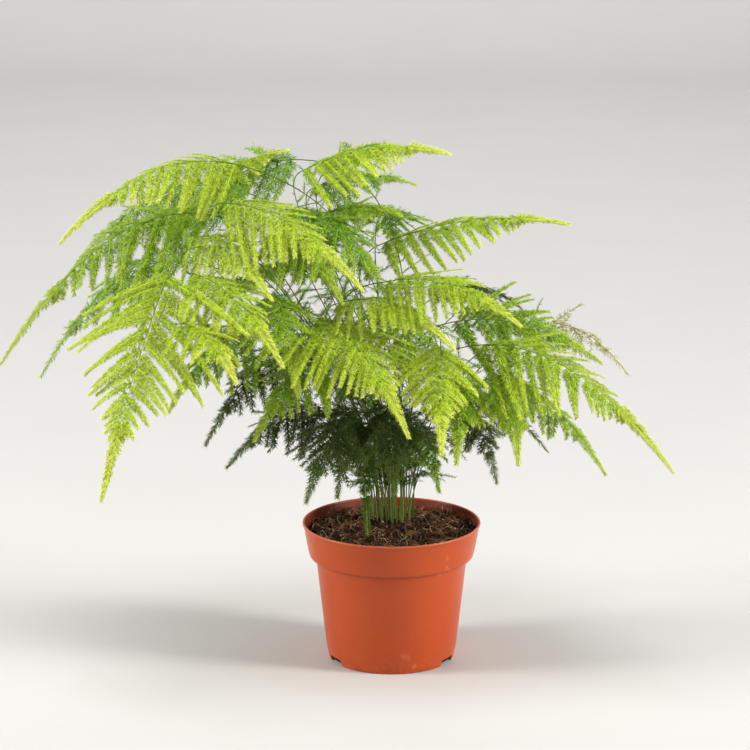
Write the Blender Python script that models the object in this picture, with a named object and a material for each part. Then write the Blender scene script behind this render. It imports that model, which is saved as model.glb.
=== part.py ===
"""A lace fern (Asparagus setaceus) in its plastic nursery pot.

The model's frame has +Z up and its origin at the middle of the pot's underside,
on the surface that the pot stands on. The plant is seen from -Y, and its long
fronds reach out to -X. Lengths are written in millimetres and turned into
metres by MM where a mesh is made.
"""
import math
from collections import namedtuple

import bmesh
import bpy
import numpy as np
from mathutils.bvhtree import BVHTree

MM = 0.001

# Pot: a 12 cm nursery pot, turned, with a thin wall and a deep band under its rim
RIM_RADIUS = 60.0
POT_HEIGHT = 94.5
BAND_FOOT_RADIUS = 56.3
BAND_FOOT_HEIGHT = 75.7
BODY_TOP_RADIUS = 51.0
BODY_TOP_HEIGHT = 70.7
FLOOR_RADIUS = 43.2
WALL = 1.2
FLOOR = 2.0
POT_SEGMENTS = 36

# Drainage: three notches in the foot's edge and four holes in the floor
NOTCH_TURNS = (90.0, 208.0, 332.0)
NOTCH_INNER = 34.0
NOTCH_WIDTH = 17.0
NOTCH_HEIGHT = 4.5
DRAIN_RADIUS = 4.0
DRAIN_CIRCLE = 22.0
DRAINS = 4
DRAIN_SIDES = 8

# Soil: it fills the pot up to a little below the rim, and is bumpy on top
SOIL_GAP = 0.3
SOIL_HEIGHT = 88.0
SOIL_BUMP = 1.3
SOIL_MOUND = 2.5
SOIL_MOUND_WIDTH = 1.6
SOIL_SEGMENTS = 36
SOIL_RINGS = (55.0, 47.0, 38.0, 28.0, 16.0)

# Crown: the stems' feet stand close together, a little behind the pot's middle
CROWN = (1.0, 20.0)
CROWN_RADIUS = 15.5
FOOT_DEPTH = 12.0
COLLAR_HEIGHT = 95.0
HOLE_RADIUS = 1.65
HOLE_SIDES = 6
GOLDEN_TURN = math.radians(137.508)
BEND_HEIGHT = 140.0

# Stems: wiry, four-sided, thinner towards the blade
STEM_WIDTH = 1.5
RIB_WIDTH = 1.2
RIB_HEIGHT = 0.9
STEM_RINGS = 7
STEM_RISES = (0.5, 0.38, 0.62, 0.28, 0.74)
STEM_SWAY_AT_RISE = 0.3
STEM_SWAYS = (0.0, 6.0, -6.0, 12.0, -12.0, 18.0, -18.0, 25.0, -25.0)
STEM_ROOM = 3.0
STEM_SAMPLES = 16
STEM_REACH = (0.08, 0.34)

# Blades: slim leaflets on both sides of the rib, then a narrow point
FIRST_LEAFLET = 0.02
LAST_LEAFLET = 0.82
LEAFLET_CROWDING = 1.25
LEAFLET_ANGLES = (70.0, 44.0)
LEAFLET_MIDDLE = 0.42
LEAFLET_WIDTH = 0.7
LEAFLET_THICKNESS = 0.7
LEAFLET_DROOP = 0.14
LEAFLET_SWEEP = 0.10
START_SPREAD = 0.82
START_PART = 0.15
POINT_SPREAD = 0.12
POINT_MIDDLE = 0.9
POINT_WIDTH = 3.6

# A leaflet that would come within this of another frond is cut shorter
CLEARANCE = 0.5
TRIMS = (1.0, 0.86, 0.72, 0.58, 0.45, 0.34, 0.24, 0.16, 0.09)

Tone = namedtuple("Tone", "colour roughness")
TONES = {
    "bright": Tone((0.42, 0.58, 0.05, 1.0), 0.55),
    "fresh": Tone((0.26, 0.44, 0.04, 1.0), 0.55),
    "green": Tone((0.11, 0.26, 0.03, 1.0), 0.6),
    "deep": Tone((0.03, 0.11, 0.02, 1.0), 0.65),
    "dry": Tone((0.30, 0.24, 0.06, 1.0), 0.7),
}
TERRACOTTA = Tone((0.50, 0.11, 0.035, 1.0), 0.42)
PEAT = Tone((0.035, 0.022, 0.014, 1.0), 0.95)

# Each frond: where its blade starts and ends, how high it arches between them, how far
# its near side is turned down and both sides are folded down, half its widest spread,
# its leaflets a side, and its tone
Frond = namedtuple("Frond", "name base tip arch bank fold spread leaflets tone")
FRONDS = (
    Frond("top_left", (-94, 0, 336), (-214, -45, 295), 22, 25, 28, 46, 11, "bright"),
    Frond("top_right", (-60, -5, 334), (37, -30, 350), 10, 25, 25, 42, 10, "bright"),
    Frond("upper_right", (-9, -5, 285), (114, -40, 306), 10, 25, 25, 44, 11, "bright"),
    Frond("left_long", (-117, 5, 303), (-258, -20, 208), 32, 25, 25, 62, 12, "fresh"),
    Frond("front_left", (-142, -65, 281), (-184, -125, 145), 10, 0, 5, 84, 12, "bright"),
    Frond("centre_top", (-110, -35, 319), (-19, -85, 272), 14, 25, 25, 50, 10, "bright"),
    Frond("left_mid", (-131, -30, 296), (-77, -80, 265), 10, 20, 15, 41, 8, "bright"),
    Frond("centre_left", (-128, -62, 278), (-69, -118, 230), 12, 15, 15, 48, 9, "bright"),
    Frond("front_low_left", (-135, -92, 252), (-97, -140, 225), 10, 10, 15, 40, 7, "bright"),
    Frond("centre_front", (-48, -50, 246), (10, -120, 185), 16, 5, 10, 68, 11, "bright"),
    Frond("centre_spear", (-37, -35, 252), (39, -95, 236), 14, 15, 15, 44, 10, "bright"),
    Frond("right_centre", (-5, -45, 269), (81, -95, 251), 12, 20, 15, 50, 10, "bright"),
    Frond("right_long", (54, -50, 228), (180, -90, 154), 24, 25, 20, 58, 12, "bright"),
    Frond("right_green", (39, -5, 233), (138, -20, 209), 12, 25, 5, 60, 10, "fresh"),
    Frond("right_low", (65, -25, 199), (139, -60, 144), 16, 15, 20, 46, 8, "fresh"),
    Frond("hang_1", (31, -75, 234), (31, -115, 172), 8, 0, 15, 40, 8, "bright"),
    Frond("hang_2", (46, -60, 211), (41, -95, 161), 8, 0, 15, 34, 7, "fresh"),
    Frond("hang_3", (73, -60, 213), (81, -90, 159), 8, 0, 15, 34, 7, "fresh"),
    Frond("centre_green", (-67, -6, 310), (3, -46, 248), 18, 10, 15, 60, 13, "green"),
    Frond("top_green", (-61, 25, 337), (-147, 12, 293), 12, 25, 15, 50, 8, "green"),
    Frond("upper_right_1", (-54, 30, 316), (15, 15, 322), 8, 20, 20, 34, 9, "green"),
    Frond("upper_right_2", (-52, 14, 298), (6, -6, 305), 8, 20, 20, 34, 9, "fresh"),
    Frond("top_left_back", (-118, 28, 323), (-69, 20, 344), 4, 20, 20, 28, 6, "bright"),
    Frond("top_back", (-45, 45, 325), (9, 95, 332), 10, 0, 15, 36, 7, "green"),
    Frond("left_back", (-92, 45, 309), (-220, 45, 253), 28, 25, 20, 62, 10, "green"),
    Frond("left_low", (-148, 35, 266), (-236, 20, 190), 20, 20, 15, 50, 10, "green"),
    Frond("mid_left", (-93, -15, 234), (-146, -45, 182), 12, 15, 20, 52, 8, "fresh"),
    Frond("mid_front", (-40, -50, 225), (-88, -95, 176), 12, 15, 20, 54, 8, "fresh"),
    Frond("inner_front", (-76, -52, 262), (-60, -95, 205), 12, 0, 12, 56, 9, "fresh"),
    Frond("centre_fill", (-78, -16, 294), (-32, -60, 258), 12, 10, 15, 54, 8, "fresh"),
    Frond("centre_low", (0, -15, 250), (15, -62, 193), 12, 0, 15, 52, 8, "fresh"),
    Frond("deep_left", (-64, -5, 214), (-122, -45, 160), 14, 15, 15, 46, 8, "deep"),
    Frond("deep_left_low", (-44, 4, 172), (-109, -26, 139), 12, 15, 15, 44, 8, "deep"),
    Frond("deep_front", (-29, -20, 177), (-56, -60, 125), 10, 15, 15, 48, 8, "deep"),
    Frond("deep_middle", (-3, -14, 180), (2, -58, 130), 10, 0, 10, 48, 8, "deep"),
    Frond("deep_hang", (-27, 4, 168), (-36, -38, 122), 10, 0, 12, 36, 7, "deep"),
    Frond("drape", (-20, -8, 146), (-16, -50, 100), 10, 0, 10, 10, 6, "green"),
    Frond("low_front", (16, -8, 160), (31, -45, 128), 10, 0, 10, 30, 7, "green"),
    Frond("low_right", (40, 25, 172), (106, 30, 135), 14, 15, 20, 42, 7, "deep"),
    Frond("low_right_2", (49, 0, 168), (70, -20, 127), 12, 10, 15, 32, 6, "deep"),
    Frond("back_right", (26, 50, 236), (92, 75, 222), 14, 0, 10, 40, 7, "deep"),
    Frond("dry_spray", (99, 15, 227), (159, 15, 192), 12, 10, 10, 28, 6, "dry"),
    Frond("back_left", (-60, 70, 255), (-135, 125, 195), 20, 0, 15, 46, 9, "green"),
    Frond("back_middle", (-8, 80, 290), (5, 155, 240), 18, 0, 15, 46, 9, "green"),
    Frond("back_far_right", (50, 70, 225), (115, 120, 175), 18, 0, 15, 44, 9, "green"),
    Frond("back_low", (-15, 62, 180), (-40, 125, 130), 16, 0, 15, 40, 7, "deep"),
)


def clear_scene():
    """Remove every object, so that the model starts from an empty scene."""
    for thing in list(bpy.data.objects):
        bpy.data.objects.remove(thing, do_unlink=True)


def plain_material(name, tone):
    """Make a Principled material of one colour and roughness."""
    material = bpy.data.materials.new(name)
    material.use_nodes = True
    shader = material.node_tree.nodes["Principled BSDF"]
    shader.inputs["Base Color"].default_value = tone.colour
    shader.inputs["Roughness"].default_value = tone.roughness
    shader.inputs["Metallic"].default_value = 0.0
    return material


def closed_mesh(name, points, faces):
    """Make a mesh in metres from points in millimetres, with its faces turned out."""
    mesh = bpy.data.meshes.new(name)
    mesh.from_pydata([[value * MM for value in point] for point in points], [], faces)
    work = bmesh.new()
    work.from_mesh(mesh)
    bmesh.ops.recalc_face_normals(work, faces=work.faces)
    work.to_mesh(mesh)
    work.free()
    return mesh


def place_object(name, mesh, material, parent):
    """Put a mesh in the scene under its parent, with its material."""
    thing = bpy.data.objects.new(name, mesh)
    if material is not None:
        mesh.materials.append(material)
    bpy.context.scene.collection.objects.link(thing)
    thing.parent = parent
    return thing


def turned(rings, segments):
    """Join rings of points from the lower pole to the upper pole into one skin.

    Each ring is a list of points as many as the segments, and a pole is one point.
    """
    points = []
    starts = []
    for ring in rings:
        starts.append(len(points))
        points.extend(ring)
    faces = []
    for number in range(len(rings) - 1):
        low, high = starts[number], starts[number + 1]
        for step in range(segments):
            after = (step + 1) % segments
            if len(rings[number]) == 1:
                faces.append((low, high + after, high + step))
            elif len(rings[number + 1]) == 1:
                faces.append((low + step, low + after, high))
            else:
                faces.append((low + step, low + after, high + after, high + step))
    return points, faces


def circle(radius, height, segments):
    """List the points of a level circle, or its one middle point."""
    if radius == 0.0:
        return [(0.0, 0.0, height)]
    turns = [2.0 * math.pi * step / segments for step in range(segments)]
    return [(radius * math.cos(turn), radius * math.sin(turn), height) for turn in turns]


def body_radius(height):
    """Give the outer radius of the pot's tapering body at a height."""
    return FLOOR_RADIUS + (BODY_TOP_RADIUS - FLOOR_RADIUS) * height / BODY_TOP_HEIGHT


def pot_profile():
    """List the pot's radius and height pairs, up its outside and down its inside."""
    outside = [
        (0.0, 0.0),
        (FLOOR_RADIUS - 1.2, 0.0),
        (FLOOR_RADIUS - 0.3, 0.8),
        (body_radius(9.0), 9.0),
        (BODY_TOP_RADIUS, BODY_TOP_HEIGHT),
        (BODY_TOP_RADIUS + 3.0, BODY_TOP_HEIGHT + 1.2),
        (BAND_FOOT_RADIUS - 0.5, BAND_FOOT_HEIGHT - 2.0),
        (BAND_FOOT_RADIUS, BAND_FOOT_HEIGHT),
        (RIM_RADIUS - 0.3, POT_HEIGHT - 1.6),
        (RIM_RADIUS, POT_HEIGHT - 0.7),
        (RIM_RADIUS - 0.5, POT_HEIGHT),
    ]
    inside = [
        (RIM_RADIUS - WALL, POT_HEIGHT - 0.1),
        (BAND_FOOT_RADIUS - WALL, BAND_FOOT_HEIGHT + 0.3),
        (BODY_TOP_RADIUS + 1.2, BODY_TOP_HEIGHT + 1.9),
        (BODY_TOP_RADIUS - WALL, BODY_TOP_HEIGHT + 0.5),
        (body_radius(FLOOR) - WALL, FLOOR),
        (0.0, FLOOR),
    ]
    return outside + inside


def prism(centre, radius, low, high, sides):
    """List the points and faces of one upright prism."""
    count = range(sides)
    turns = [2.0 * math.pi * step / sides for step in count]
    edge = [(centre[0] + radius * math.cos(turn), centre[1] + radius * math.sin(turn)) for turn in turns]
    points = [(x, y, low) for x, y in edge] + [(x, y, high) for x, y in edge]
    faces = [tuple(range(sides)), tuple(range(sides, 2 * sides))]
    faces += [(step, (step + 1) % sides, sides + (step + 1) % sides, sides + step) for step in count]
    return points, faces


def notch_box(turn):
    """List the points and faces of one drainage notch, which reaches past the foot's edge."""
    along = (math.cos(turn), math.sin(turn))
    across = (-along[1], along[0])
    reach = (NOTCH_INNER, RIM_RADIUS)
    half = NOTCH_WIDTH / 2.0
    points = []
    for height, width in ((-1.0, half), (NOTCH_HEIGHT, half - 1.5)):
        for side, distance in ((-width, reach[0]), (width, reach[0]), (width, reach[1]), (-width, reach[1])):
            x = along[0] * distance + across[0] * side
            y = along[1] * distance + across[1] * side
            points.append((x, y, height))
    faces = [(0, 1, 2, 3), (4, 5, 6, 7), (0, 1, 5, 4), (1, 2, 6, 5), (2, 3, 7, 6), (3, 0, 4, 7)]
    return points, faces


def gather(pieces):
    """Put several sets of points and faces together, end to end."""
    points = []
    faces = []
    for some_points, some_faces in pieces:
        start = len(points)
        points.extend(some_points)
        faces.extend(tuple(index + start for index in face) for face in some_faces)
    return points, faces


def cut_away(thing, name, pieces):
    """Cut closed pieces out of an object with an exact Boolean."""
    points, faces = gather(pieces)
    cutter = place_object(name, closed_mesh(name, points, faces), None, thing.parent)
    cutter.hide_render = True
    cutter.display_type = "WIRE"
    cut = thing.modifiers.new(name, "BOOLEAN")
    cut.operation = "DIFFERENCE"
    cut.solver = "EXACT"
    cut.object = cutter


def make_pot(parent):
    """Make the pot, with the notches and holes that let water out."""
    rings = [circle(radius, height, POT_SEGMENTS) for radius, height in pot_profile()]
    mesh = closed_mesh("pot", *turned(rings, POT_SEGMENTS))
    mesh.shade_smooth()
    mesh.set_sharp_from_angle(angle=math.radians(35.0))
    pot = place_object("pot", mesh, plain_material("terracotta_plastic", TERRACOTTA), parent)
    notches = [notch_box(math.radians(turn)) for turn in NOTCH_TURNS]
    drains = []
    for number in range(DRAINS):
        turn = math.radians(45.0) + 2.0 * math.pi * number / DRAINS
        centre = (DRAIN_CIRCLE * math.cos(turn), DRAIN_CIRCLE * math.sin(turn))
        drains.append(prism(centre, DRAIN_RADIUS, -1.0, FLOOR + 1.0, DRAIN_SIDES))
    cut_away(pot, "drainage_cutter", notches + drains)


def soil_height(x, y):
    """Give the height of the bumpy soil at a place, with a low mound at the crown."""
    waves = math.sin(0.21 * x + 0.6) * math.cos(0.17 * y - 0.4) + 0.6 * math.sin(0.11 * x - 0.29 * y)
    away = math.hypot(x - CROWN[0], y - CROWN[1]) / (SOIL_MOUND_WIDTH * CROWN_RADIUS)
    return SOIL_HEIGHT + SOIL_BUMP * waves + SOIL_MOUND * math.exp(-away * away)


def make_soil(parent, feet):
    """Make the soil that fills the pot, with a plain hole for each stem."""
    gap = SOIL_GAP
    low = FLOOR + gap
    rings = [
        circle(0.0, low, SOIL_SEGMENTS),
        circle(body_radius(low) - WALL - gap, low, SOIL_SEGMENTS),
        circle(BODY_TOP_RADIUS - WALL - gap, BODY_TOP_HEIGHT + 0.8, SOIL_SEGMENTS),
        circle(BODY_TOP_RADIUS + 1.2 - gap, BODY_TOP_HEIGHT + 2.4, SOIL_SEGMENTS),
        circle(BAND_FOOT_RADIUS - WALL - gap - 0.1, BAND_FOOT_HEIGHT + 0.8, SOIL_SEGMENTS),
        circle(RIM_RADIUS - WALL - gap - 1.4, SOIL_HEIGHT - 1.5, SOIL_SEGMENTS),
    ]
    for radius in SOIL_RINGS:
        level = circle(radius, 0.0, SOIL_SEGMENTS)
        rings.append([(x, y, soil_height(x, y)) for x, y, _ in level])
    rings.append([(0.0, 0.0, soil_height(0.0, 0.0))])
    mesh = closed_mesh("soil", *turned(rings, SOIL_SEGMENTS))
    mesh.shade_smooth()
    soil = place_object("soil", mesh, plain_material("dark_peat", PEAT), parent)
    floor = SOIL_HEIGHT - FOOT_DEPTH - SOIL_GAP
    holes = [prism(foot, HOLE_RADIUS, floor, SOIL_HEIGHT + 12.0, HOLE_SIDES) for foot in feet]
    cut_away(soil, "stem_hole_cutter", holes)


def unit(vector):
    """Scale a vector to a length of one."""
    return vector / np.linalg.norm(vector)


def rachis(frond, t):
    """Give a point of the blade's midrib, a quadratic curve, and its heading there."""
    base = np.array(frond.base, float)
    tip = np.array(frond.tip, float)
    bend = (base + tip) / 2.0 + np.array([0.0, 0.0, 2.0 * frond.arch])
    point = (1 - t) ** 2 * base + 2 * t * (1 - t) * bend + t * t * tip
    heading = 2 * (1 - t) * (bend - base) + 2 * t * (tip - bend)
    return point, unit(heading)


def stem(frond, foot, bend, t):
    """Give a point of the stem, a cubic curve from its collar to the blade, and its heading.

    The stem leaves the soil upright. It runs into the blade more gently where the
    blade leads away from the crown than where it turns back. Its bend says how far up
    it turns, and how far it sways to a side.
    """
    share, sway = bend
    start = np.array([foot[0], foot[1], COLLAR_HEIGHT])
    end, heading = rachis(frond, 0.0)
    outward = np.append(unit(end[:2] - np.array(CROWN)), 0.0)
    sideways = sway * np.array([-outward[1], outward[0], 0.0])
    rise = start + np.array([0.0, 0.0, share * (end[2] - start[2])]) + STEM_SWAY_AT_RISE * sideways
    follows = (1.0 + np.dot(outward, heading)) / 2.0
    part = STEM_REACH[0] + (STEM_REACH[1] - STEM_REACH[0]) * follows
    reach = end - heading * part * np.linalg.norm(end - start) + sideways
    point = (1 - t) ** 3 * start + 3 * t * (1 - t) ** 2 * rise
    point = point + 3 * t * t * (1 - t) * reach + t ** 3 * end
    along = (1 - t) ** 2 * (rise - start) + 2 * t * (1 - t) * (reach - rise) + t * t * (end - reach)
    return point, unit(along)


def lean_place(frond):
    """Give the level place that a frond's stem has reached at the height of the bends."""
    middle = np.array([CROWN[0], CROWN[1]])
    steps = [stem(frond, middle, (STEM_RISES[0], 0.0), step / 40.0)[0] for step in range(41)]
    nearest = min(steps, key=lambda point: abs(point[2] - BEND_HEIGHT))
    return nearest[:2]


def stem_feet():
    """Place the stems' feet on a spiral in the crown, and share them out among the fronds.

    Two fronds swap their feet while that shortens the way from the feet to where the
    stems lean, squared and summed, so that the stems spread without crossing.
    """
    count = len(FRONDS)
    turns = np.arange(count) * GOLDEN_TURN
    reach = CROWN_RADIUS * np.sqrt((np.arange(count) + 0.5) / count)
    feet = np.stack([reach * np.cos(turns), reach * np.sin(turns)], 1) + np.array(CROWN)
    leans = np.array([lean_place(frond) for frond in FRONDS])
    order = list(range(count))
    swapped = True
    while swapped:
        swapped = False
        for one in range(count):
            for two in range(one + 1, count):
                apart = feet[order[one]] - feet[order[two]]
                if np.dot(apart, leans[one] - leans[two]) < -1e-6:
                    order[one], order[two] = order[two], order[one]
                    swapped = True
    return feet[order]


def side_and_up(frond, heading, turned_part):
    """Give the level side of a heading and its upward normal, banked to the near side."""
    way = np.array(frond.tip, float) - np.array(frond.base, float)
    level = unit(np.array([way[1], -way[0], 0.0]))
    side = unit(level - heading * np.dot(level, heading))
    up = np.cross(side, heading)
    near = 1.0 if level[1] > 0.0 else -1.0
    bank = math.radians(frond.bank) * near * turned_part
    banked = math.cos(bank) * side + math.sin(bank) * up
    return banked, np.cross(banked, heading)


def spread_at(part):
    """Give the leaflets' length along the blade, as a part of the frond's spread."""
    rounded = START_SPREAD + (1.0 - START_SPREAD) * min(1.0, part / START_PART)
    return rounded * (POINT_SPREAD + (1.0 - POINT_SPREAD) * (1.0 - part) ** LEAFLET_CROWDING)


def leaflet_places(frond):
    """List the places along the midrib where the leaflets' roots meet, closer to the tip."""
    count = frond.leaflets
    parts = [1.0 - (1.0 - step / count) ** LEAFLET_CROWDING for step in range(count + 1)]
    return [FIRST_LEAFLET + (LAST_LEAFLET - FIRST_LEAFLET) * part for part in parts]


def ring_at(point, side, up, width, height):
    """List a rib's four corners: left top, right top, right bottom, left bottom."""
    across = side * width / 2.0
    over = up * height / 2.0
    return [point + across + over, point - across + over, point - across - over, point + across - over]


def rib_rings(frond, foot, bend):
    """List the rings of four corners from the stem's foot to the blade's point.

    The right side's corners lie half a leaflet ahead of the left's, so that the
    leaflets alternate.
    """
    point, heading = stem(frond, foot, bend, 0.0)
    side, up = side_and_up(frond, heading, 0.0)
    sunk = point - np.array([0.0, 0.0, COLLAR_HEIGHT - SOIL_HEIGHT + FOOT_DEPTH])
    rings = [ring_at(sunk, side, up, STEM_WIDTH, STEM_WIDTH)]
    for step in range(STEM_RINGS - 1):
        t = step / (STEM_RINGS - 1)
        point, heading = stem(frond, foot, bend, t)
        side, up = side_and_up(frond, heading, t)
        width = STEM_WIDTH + (RIB_WIDTH - STEM_WIDTH) * t
        rings.append(ring_at(point, side, up, width, width + (RIB_HEIGHT - RIB_WIDTH) * t))
    places = leaflet_places(frond)
    for number, left in enumerate(places):
        step = places[min(number + 1, len(places) - 1)] - places[min(number, len(places) - 2)]
        corners = []
        for t in (left, left + 0.5 * step):
            point, heading = rachis(frond, t)
            side, up = side_and_up(frond, heading, 1.0)
            corners.append(ring_at(point, side, up, RIB_WIDTH, RIB_HEIGHT))
        rings.append([corners[0][0], corners[1][1], corners[1][2], corners[0][3]])
    point, heading = rachis(frond, POINT_MIDDLE)
    side, up = side_and_up(frond, heading, 1.0)
    rings.append(ring_at(point, side, up, POINT_WIDTH, LEAFLET_THICKNESS))
    return rings


def leaflet(frond, ring, after, part, left, trim, grow):
    """List a leaflet's four middle corners and its tip.

    The leaflet grows from the rib's side between two rings. It bends down under its
    weight and sweeps a little towards the frond's tip.
    """
    top, bottom = (0, 3) if left else (1, 2)
    root = (ring[top] + ring[bottom] + after[top] + after[bottom]) / 4.0
    heading = unit(after[top] - ring[top])
    side, up = side_and_up(frond, heading, 1.0)
    sideways = side if left else -side
    fold = math.radians(frond.fold)
    outward = math.cos(fold) * sideways - math.sin(fold) * up
    up = math.cos(fold) * up + math.sin(fold) * sideways
    angle = math.radians(LEAFLET_ANGLES[0] + (LEAFLET_ANGLES[1] - LEAFLET_ANGLES[0]) * part)
    way = math.cos(angle) * heading + math.sin(angle) * outward
    length = frond.spread * spread_at(part) * trim
    fall = np.array([0.0, 0.0, -LEAFLET_DROOP * length]) + heading * LEAFLET_SWEEP * length
    middle = root + way * length * LEAFLET_MIDDLE + fall * LEAFLET_MIDDLE ** 2
    tip = root + way * length + fall
    across = unit(np.cross(up, way))
    interval = np.linalg.norm(after[top] - ring[top])
    half = 0.5 * LEAFLET_WIDTH * interval * math.sin(angle) + grow
    half = math.copysign(half, np.dot(across, heading))
    over = up * (LEAFLET_THICKNESS / 2.0 + grow)
    back = middle - across * half
    front = middle + across * half
    return [back + over, front + over, front - over, back - over, tip + unit(way) * grow]


def sampled(rings):
    """List points at close steps along the middle of some rings."""
    middles = np.array([np.mean(ring, axis=0) for ring in rings])
    parts = np.arange(STEM_SAMPLES)[None, :, None] / STEM_SAMPLES
    steps = middles[:-1, None, :] * (1.0 - parts) + middles[1:, None, :] * parts
    return steps.reshape(-1, 3)


def bend_clear(feet):
    """Choose every stem's bend, one after the other: the first that clears what stands there.

    The blades' ribs stand where they are listed, and each stem keeps clear of them and
    of the stems before it.
    """
    plain = (STEM_RISES[0], 0.0)
    bends = [(rise, sway) for sway in STEM_SWAYS for rise in STEM_RISES]
    blades = [sampled(rib_rings(frond, foot, plain)[STEM_RINGS:]) for frond, foot in zip(FRONDS, feet)]
    stems = []
    chosen = []
    for number, (frond, foot) in enumerate(zip(FRONDS, feet)):
        others = np.concatenate(blades[:number] + blades[number + 1:] + stems)
        rooms = []
        for bend in bends:
            own = sampled(rib_rings(frond, foot, bend)[:STEM_RINGS + 1])
            room = np.sqrt(((own[:, None, :] - others[None, :, :]) ** 2).sum(axis=2).min())
            rooms.append(room)
            if room > STEM_ROOM:
                break
        best = int(np.argmax(rooms))
        stems.append(sampled(rib_rings(frond, foot, bends[best])[:STEM_RINGS + 1]))
        chosen.append(rib_rings(frond, foot, bends[best]))
    return chosen


LEAFLET_FACES = (
    (0, 1, 4), (1, 5, 4), (3, 2, 7), (2, 6, 7),
    (0, 4, 3), (4, 7, 3), (1, 5, 2), (5, 6, 2),
    (4, 5, 8), (7, 6, 8), (4, 7, 8), (5, 6, 8),
)


def leaflet_roots(ring, after, left):
    """List the four root corners of a leaflet, in the order that its faces use."""
    top, bottom = (0, 3) if left else (1, 2)
    return [ring[top], after[top], after[bottom], ring[bottom]]


def ring_band(low, high, left_open, right_open):
    """List the faces between two rings, split alike on both faces of the blade."""
    faces = [
        (low, low + 1, high), (low + 1, high + 1, high),
        (low + 3, low + 2, high + 3), (low + 2, high + 2, high + 3),
    ]
    if not left_open:
        faces += [(low, high, low + 3), (high, high + 3, low + 3)]
    if not right_open:
        faces += [(low + 1, high + 1, low + 2), (high + 1, high + 2, low + 2)]
    return faces


def spine_box(rings):
    """List the points and faces of a rib without its leaflets."""
    points = [corner for ring in rings for corner in ring]
    faces = []
    for number in range(len(rings) - 1):
        faces += ring_band(4 * number, 4 * number + 4, False, False)
    return points, faces


def tree_of(pieces):
    """Make a search tree of several sets of points and faces, or nothing if there is none."""
    points, faces = gather(pieces)
    if not faces:
        return None
    return BVHTree.FromPolygons([tuple(point) for point in points], faces)


def crosses(piece, trees):
    """Tell whether a piece touches anything in the search trees."""
    own = tree_of([piece])
    return any(tree is not None and own.overlap(tree) for tree in trees)


def fit_leaflets(frond, rings, ribs, others):
    """Choose each leaflet's length: the longest that stays clear of the other fronds."""
    chosen = {}
    own = {True: [], False: []}
    trees = [tree_of(ribs), tree_of(others)]
    for number in range(frond.leaflets):
        ring, after = rings[STEM_RINGS + number], rings[STEM_RINGS + number + 1]
        part = number / frond.leaflets
        for left in (True, False):
            beside = tree_of(own[left][-3:])
            for trim in TRIMS:
                wide = leaflet(frond, ring, after, part, left, trim, CLEARANCE)
                whole = (leaflet_roots(ring, after, left) + wide, LEAFLET_FACES)
                outer = (wide, ((0, 1, 4), (3, 2, 4)))
                if not crosses(whole, trees) and not crosses(outer, [beside]):
                    break
            chosen[number, left] = trim
            plain = leaflet(frond, ring, after, part, left, trim, 0.0)
            own[left].append((plain, ((0, 1, 4), (3, 2, 4))))
    return chosen


def frond_mesh(frond, rings, trims):
    """Join a frond's stem, rib, leaflets and point into one closed skin.

    Returns the points, the faces, and the leaflets alone for the clearance test.
    """
    points = [corner for ring in rings for corner in ring]
    faces = [(0, 1, 2), (0, 2, 3)]
    leaflets = []
    first = STEM_RINGS
    for number in range(len(rings) - 1):
        bears = first <= number < first + frond.leaflets
        faces += ring_band(4 * number, 4 * number + 4, bears, bears)
        if not bears:
            continue
        part = (number - first) / frond.leaflets
        for left in (True, False):
            trim = trims[number - first, left]
            corners = leaflet(frond, rings[number], rings[number + 1], part, left, trim, 0.0)
            top, bottom = (0, 3) if left else (1, 2)
            low, high = 4 * number, 4 * number + 4
            start = len(points)
            names = [low + top, high + top, high + bottom, low + bottom]
            names += [start + step for step in range(5)]
            points.extend(corners)
            faces += [tuple(names[index] for index in face) for face in LEAFLET_FACES]
            roots = leaflet_roots(rings[number], rings[number + 1], left)
            leaflets.append((roots + corners, LEAFLET_FACES))
    last = 4 * (len(rings) - 1)
    end = len(points)
    points.append(np.array(frond.tip, float))
    faces += [(last + step, last + (step + 1) % 4, end) for step in range(4)]
    return points, faces, leaflets


def make_fronds(parent, feet):
    """Make every frond as one closed piece, with leaflets cut short where they would cross."""
    materials = {tone: plain_material("leaf_" + tone, TONES[tone]) for tone in TONES}
    every = bend_clear(feet)
    ribs = [spine_box(rings) for rings in every]
    placed = []
    for number, (frond, rings) in enumerate(zip(FRONDS, every)):
        others = ribs[:number] + ribs[number + 1:]
        trims = fit_leaflets(frond, rings, others, placed)
        points, faces, leaflets = frond_mesh(frond, rings, trims)
        placed.extend(leaflets)
        name = "frond_" + frond.name
        place_object(name, closed_mesh(name, points, faces), materials[frond.tone], parent)


def main():
    """Build the plant in its pot."""
    clear_scene()
    root = bpy.data.objects.new("lace_fern", None)
    bpy.context.scene.collection.objects.link(root)
    feet = stem_feet()
    make_pot(root)
    make_soil(root, feet)
    make_fronds(root, feet)


main()
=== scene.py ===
"""The finished look of a lace fern in its terracotta-coloured nursery pot.

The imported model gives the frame, in metres: +Z is up, and the origin is the middle of
the pot's underside. Sizes in this script are millimetres until a mesh is made. Each
frond follows the same midrib, stem and pinna laws as its solid, and carries the fine
branchlets and needles that the solid leaves out.
"""

import logging
import math
from dataclasses import dataclass
from enum import Enum
from typing import Any, Mapping, Sequence

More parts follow.
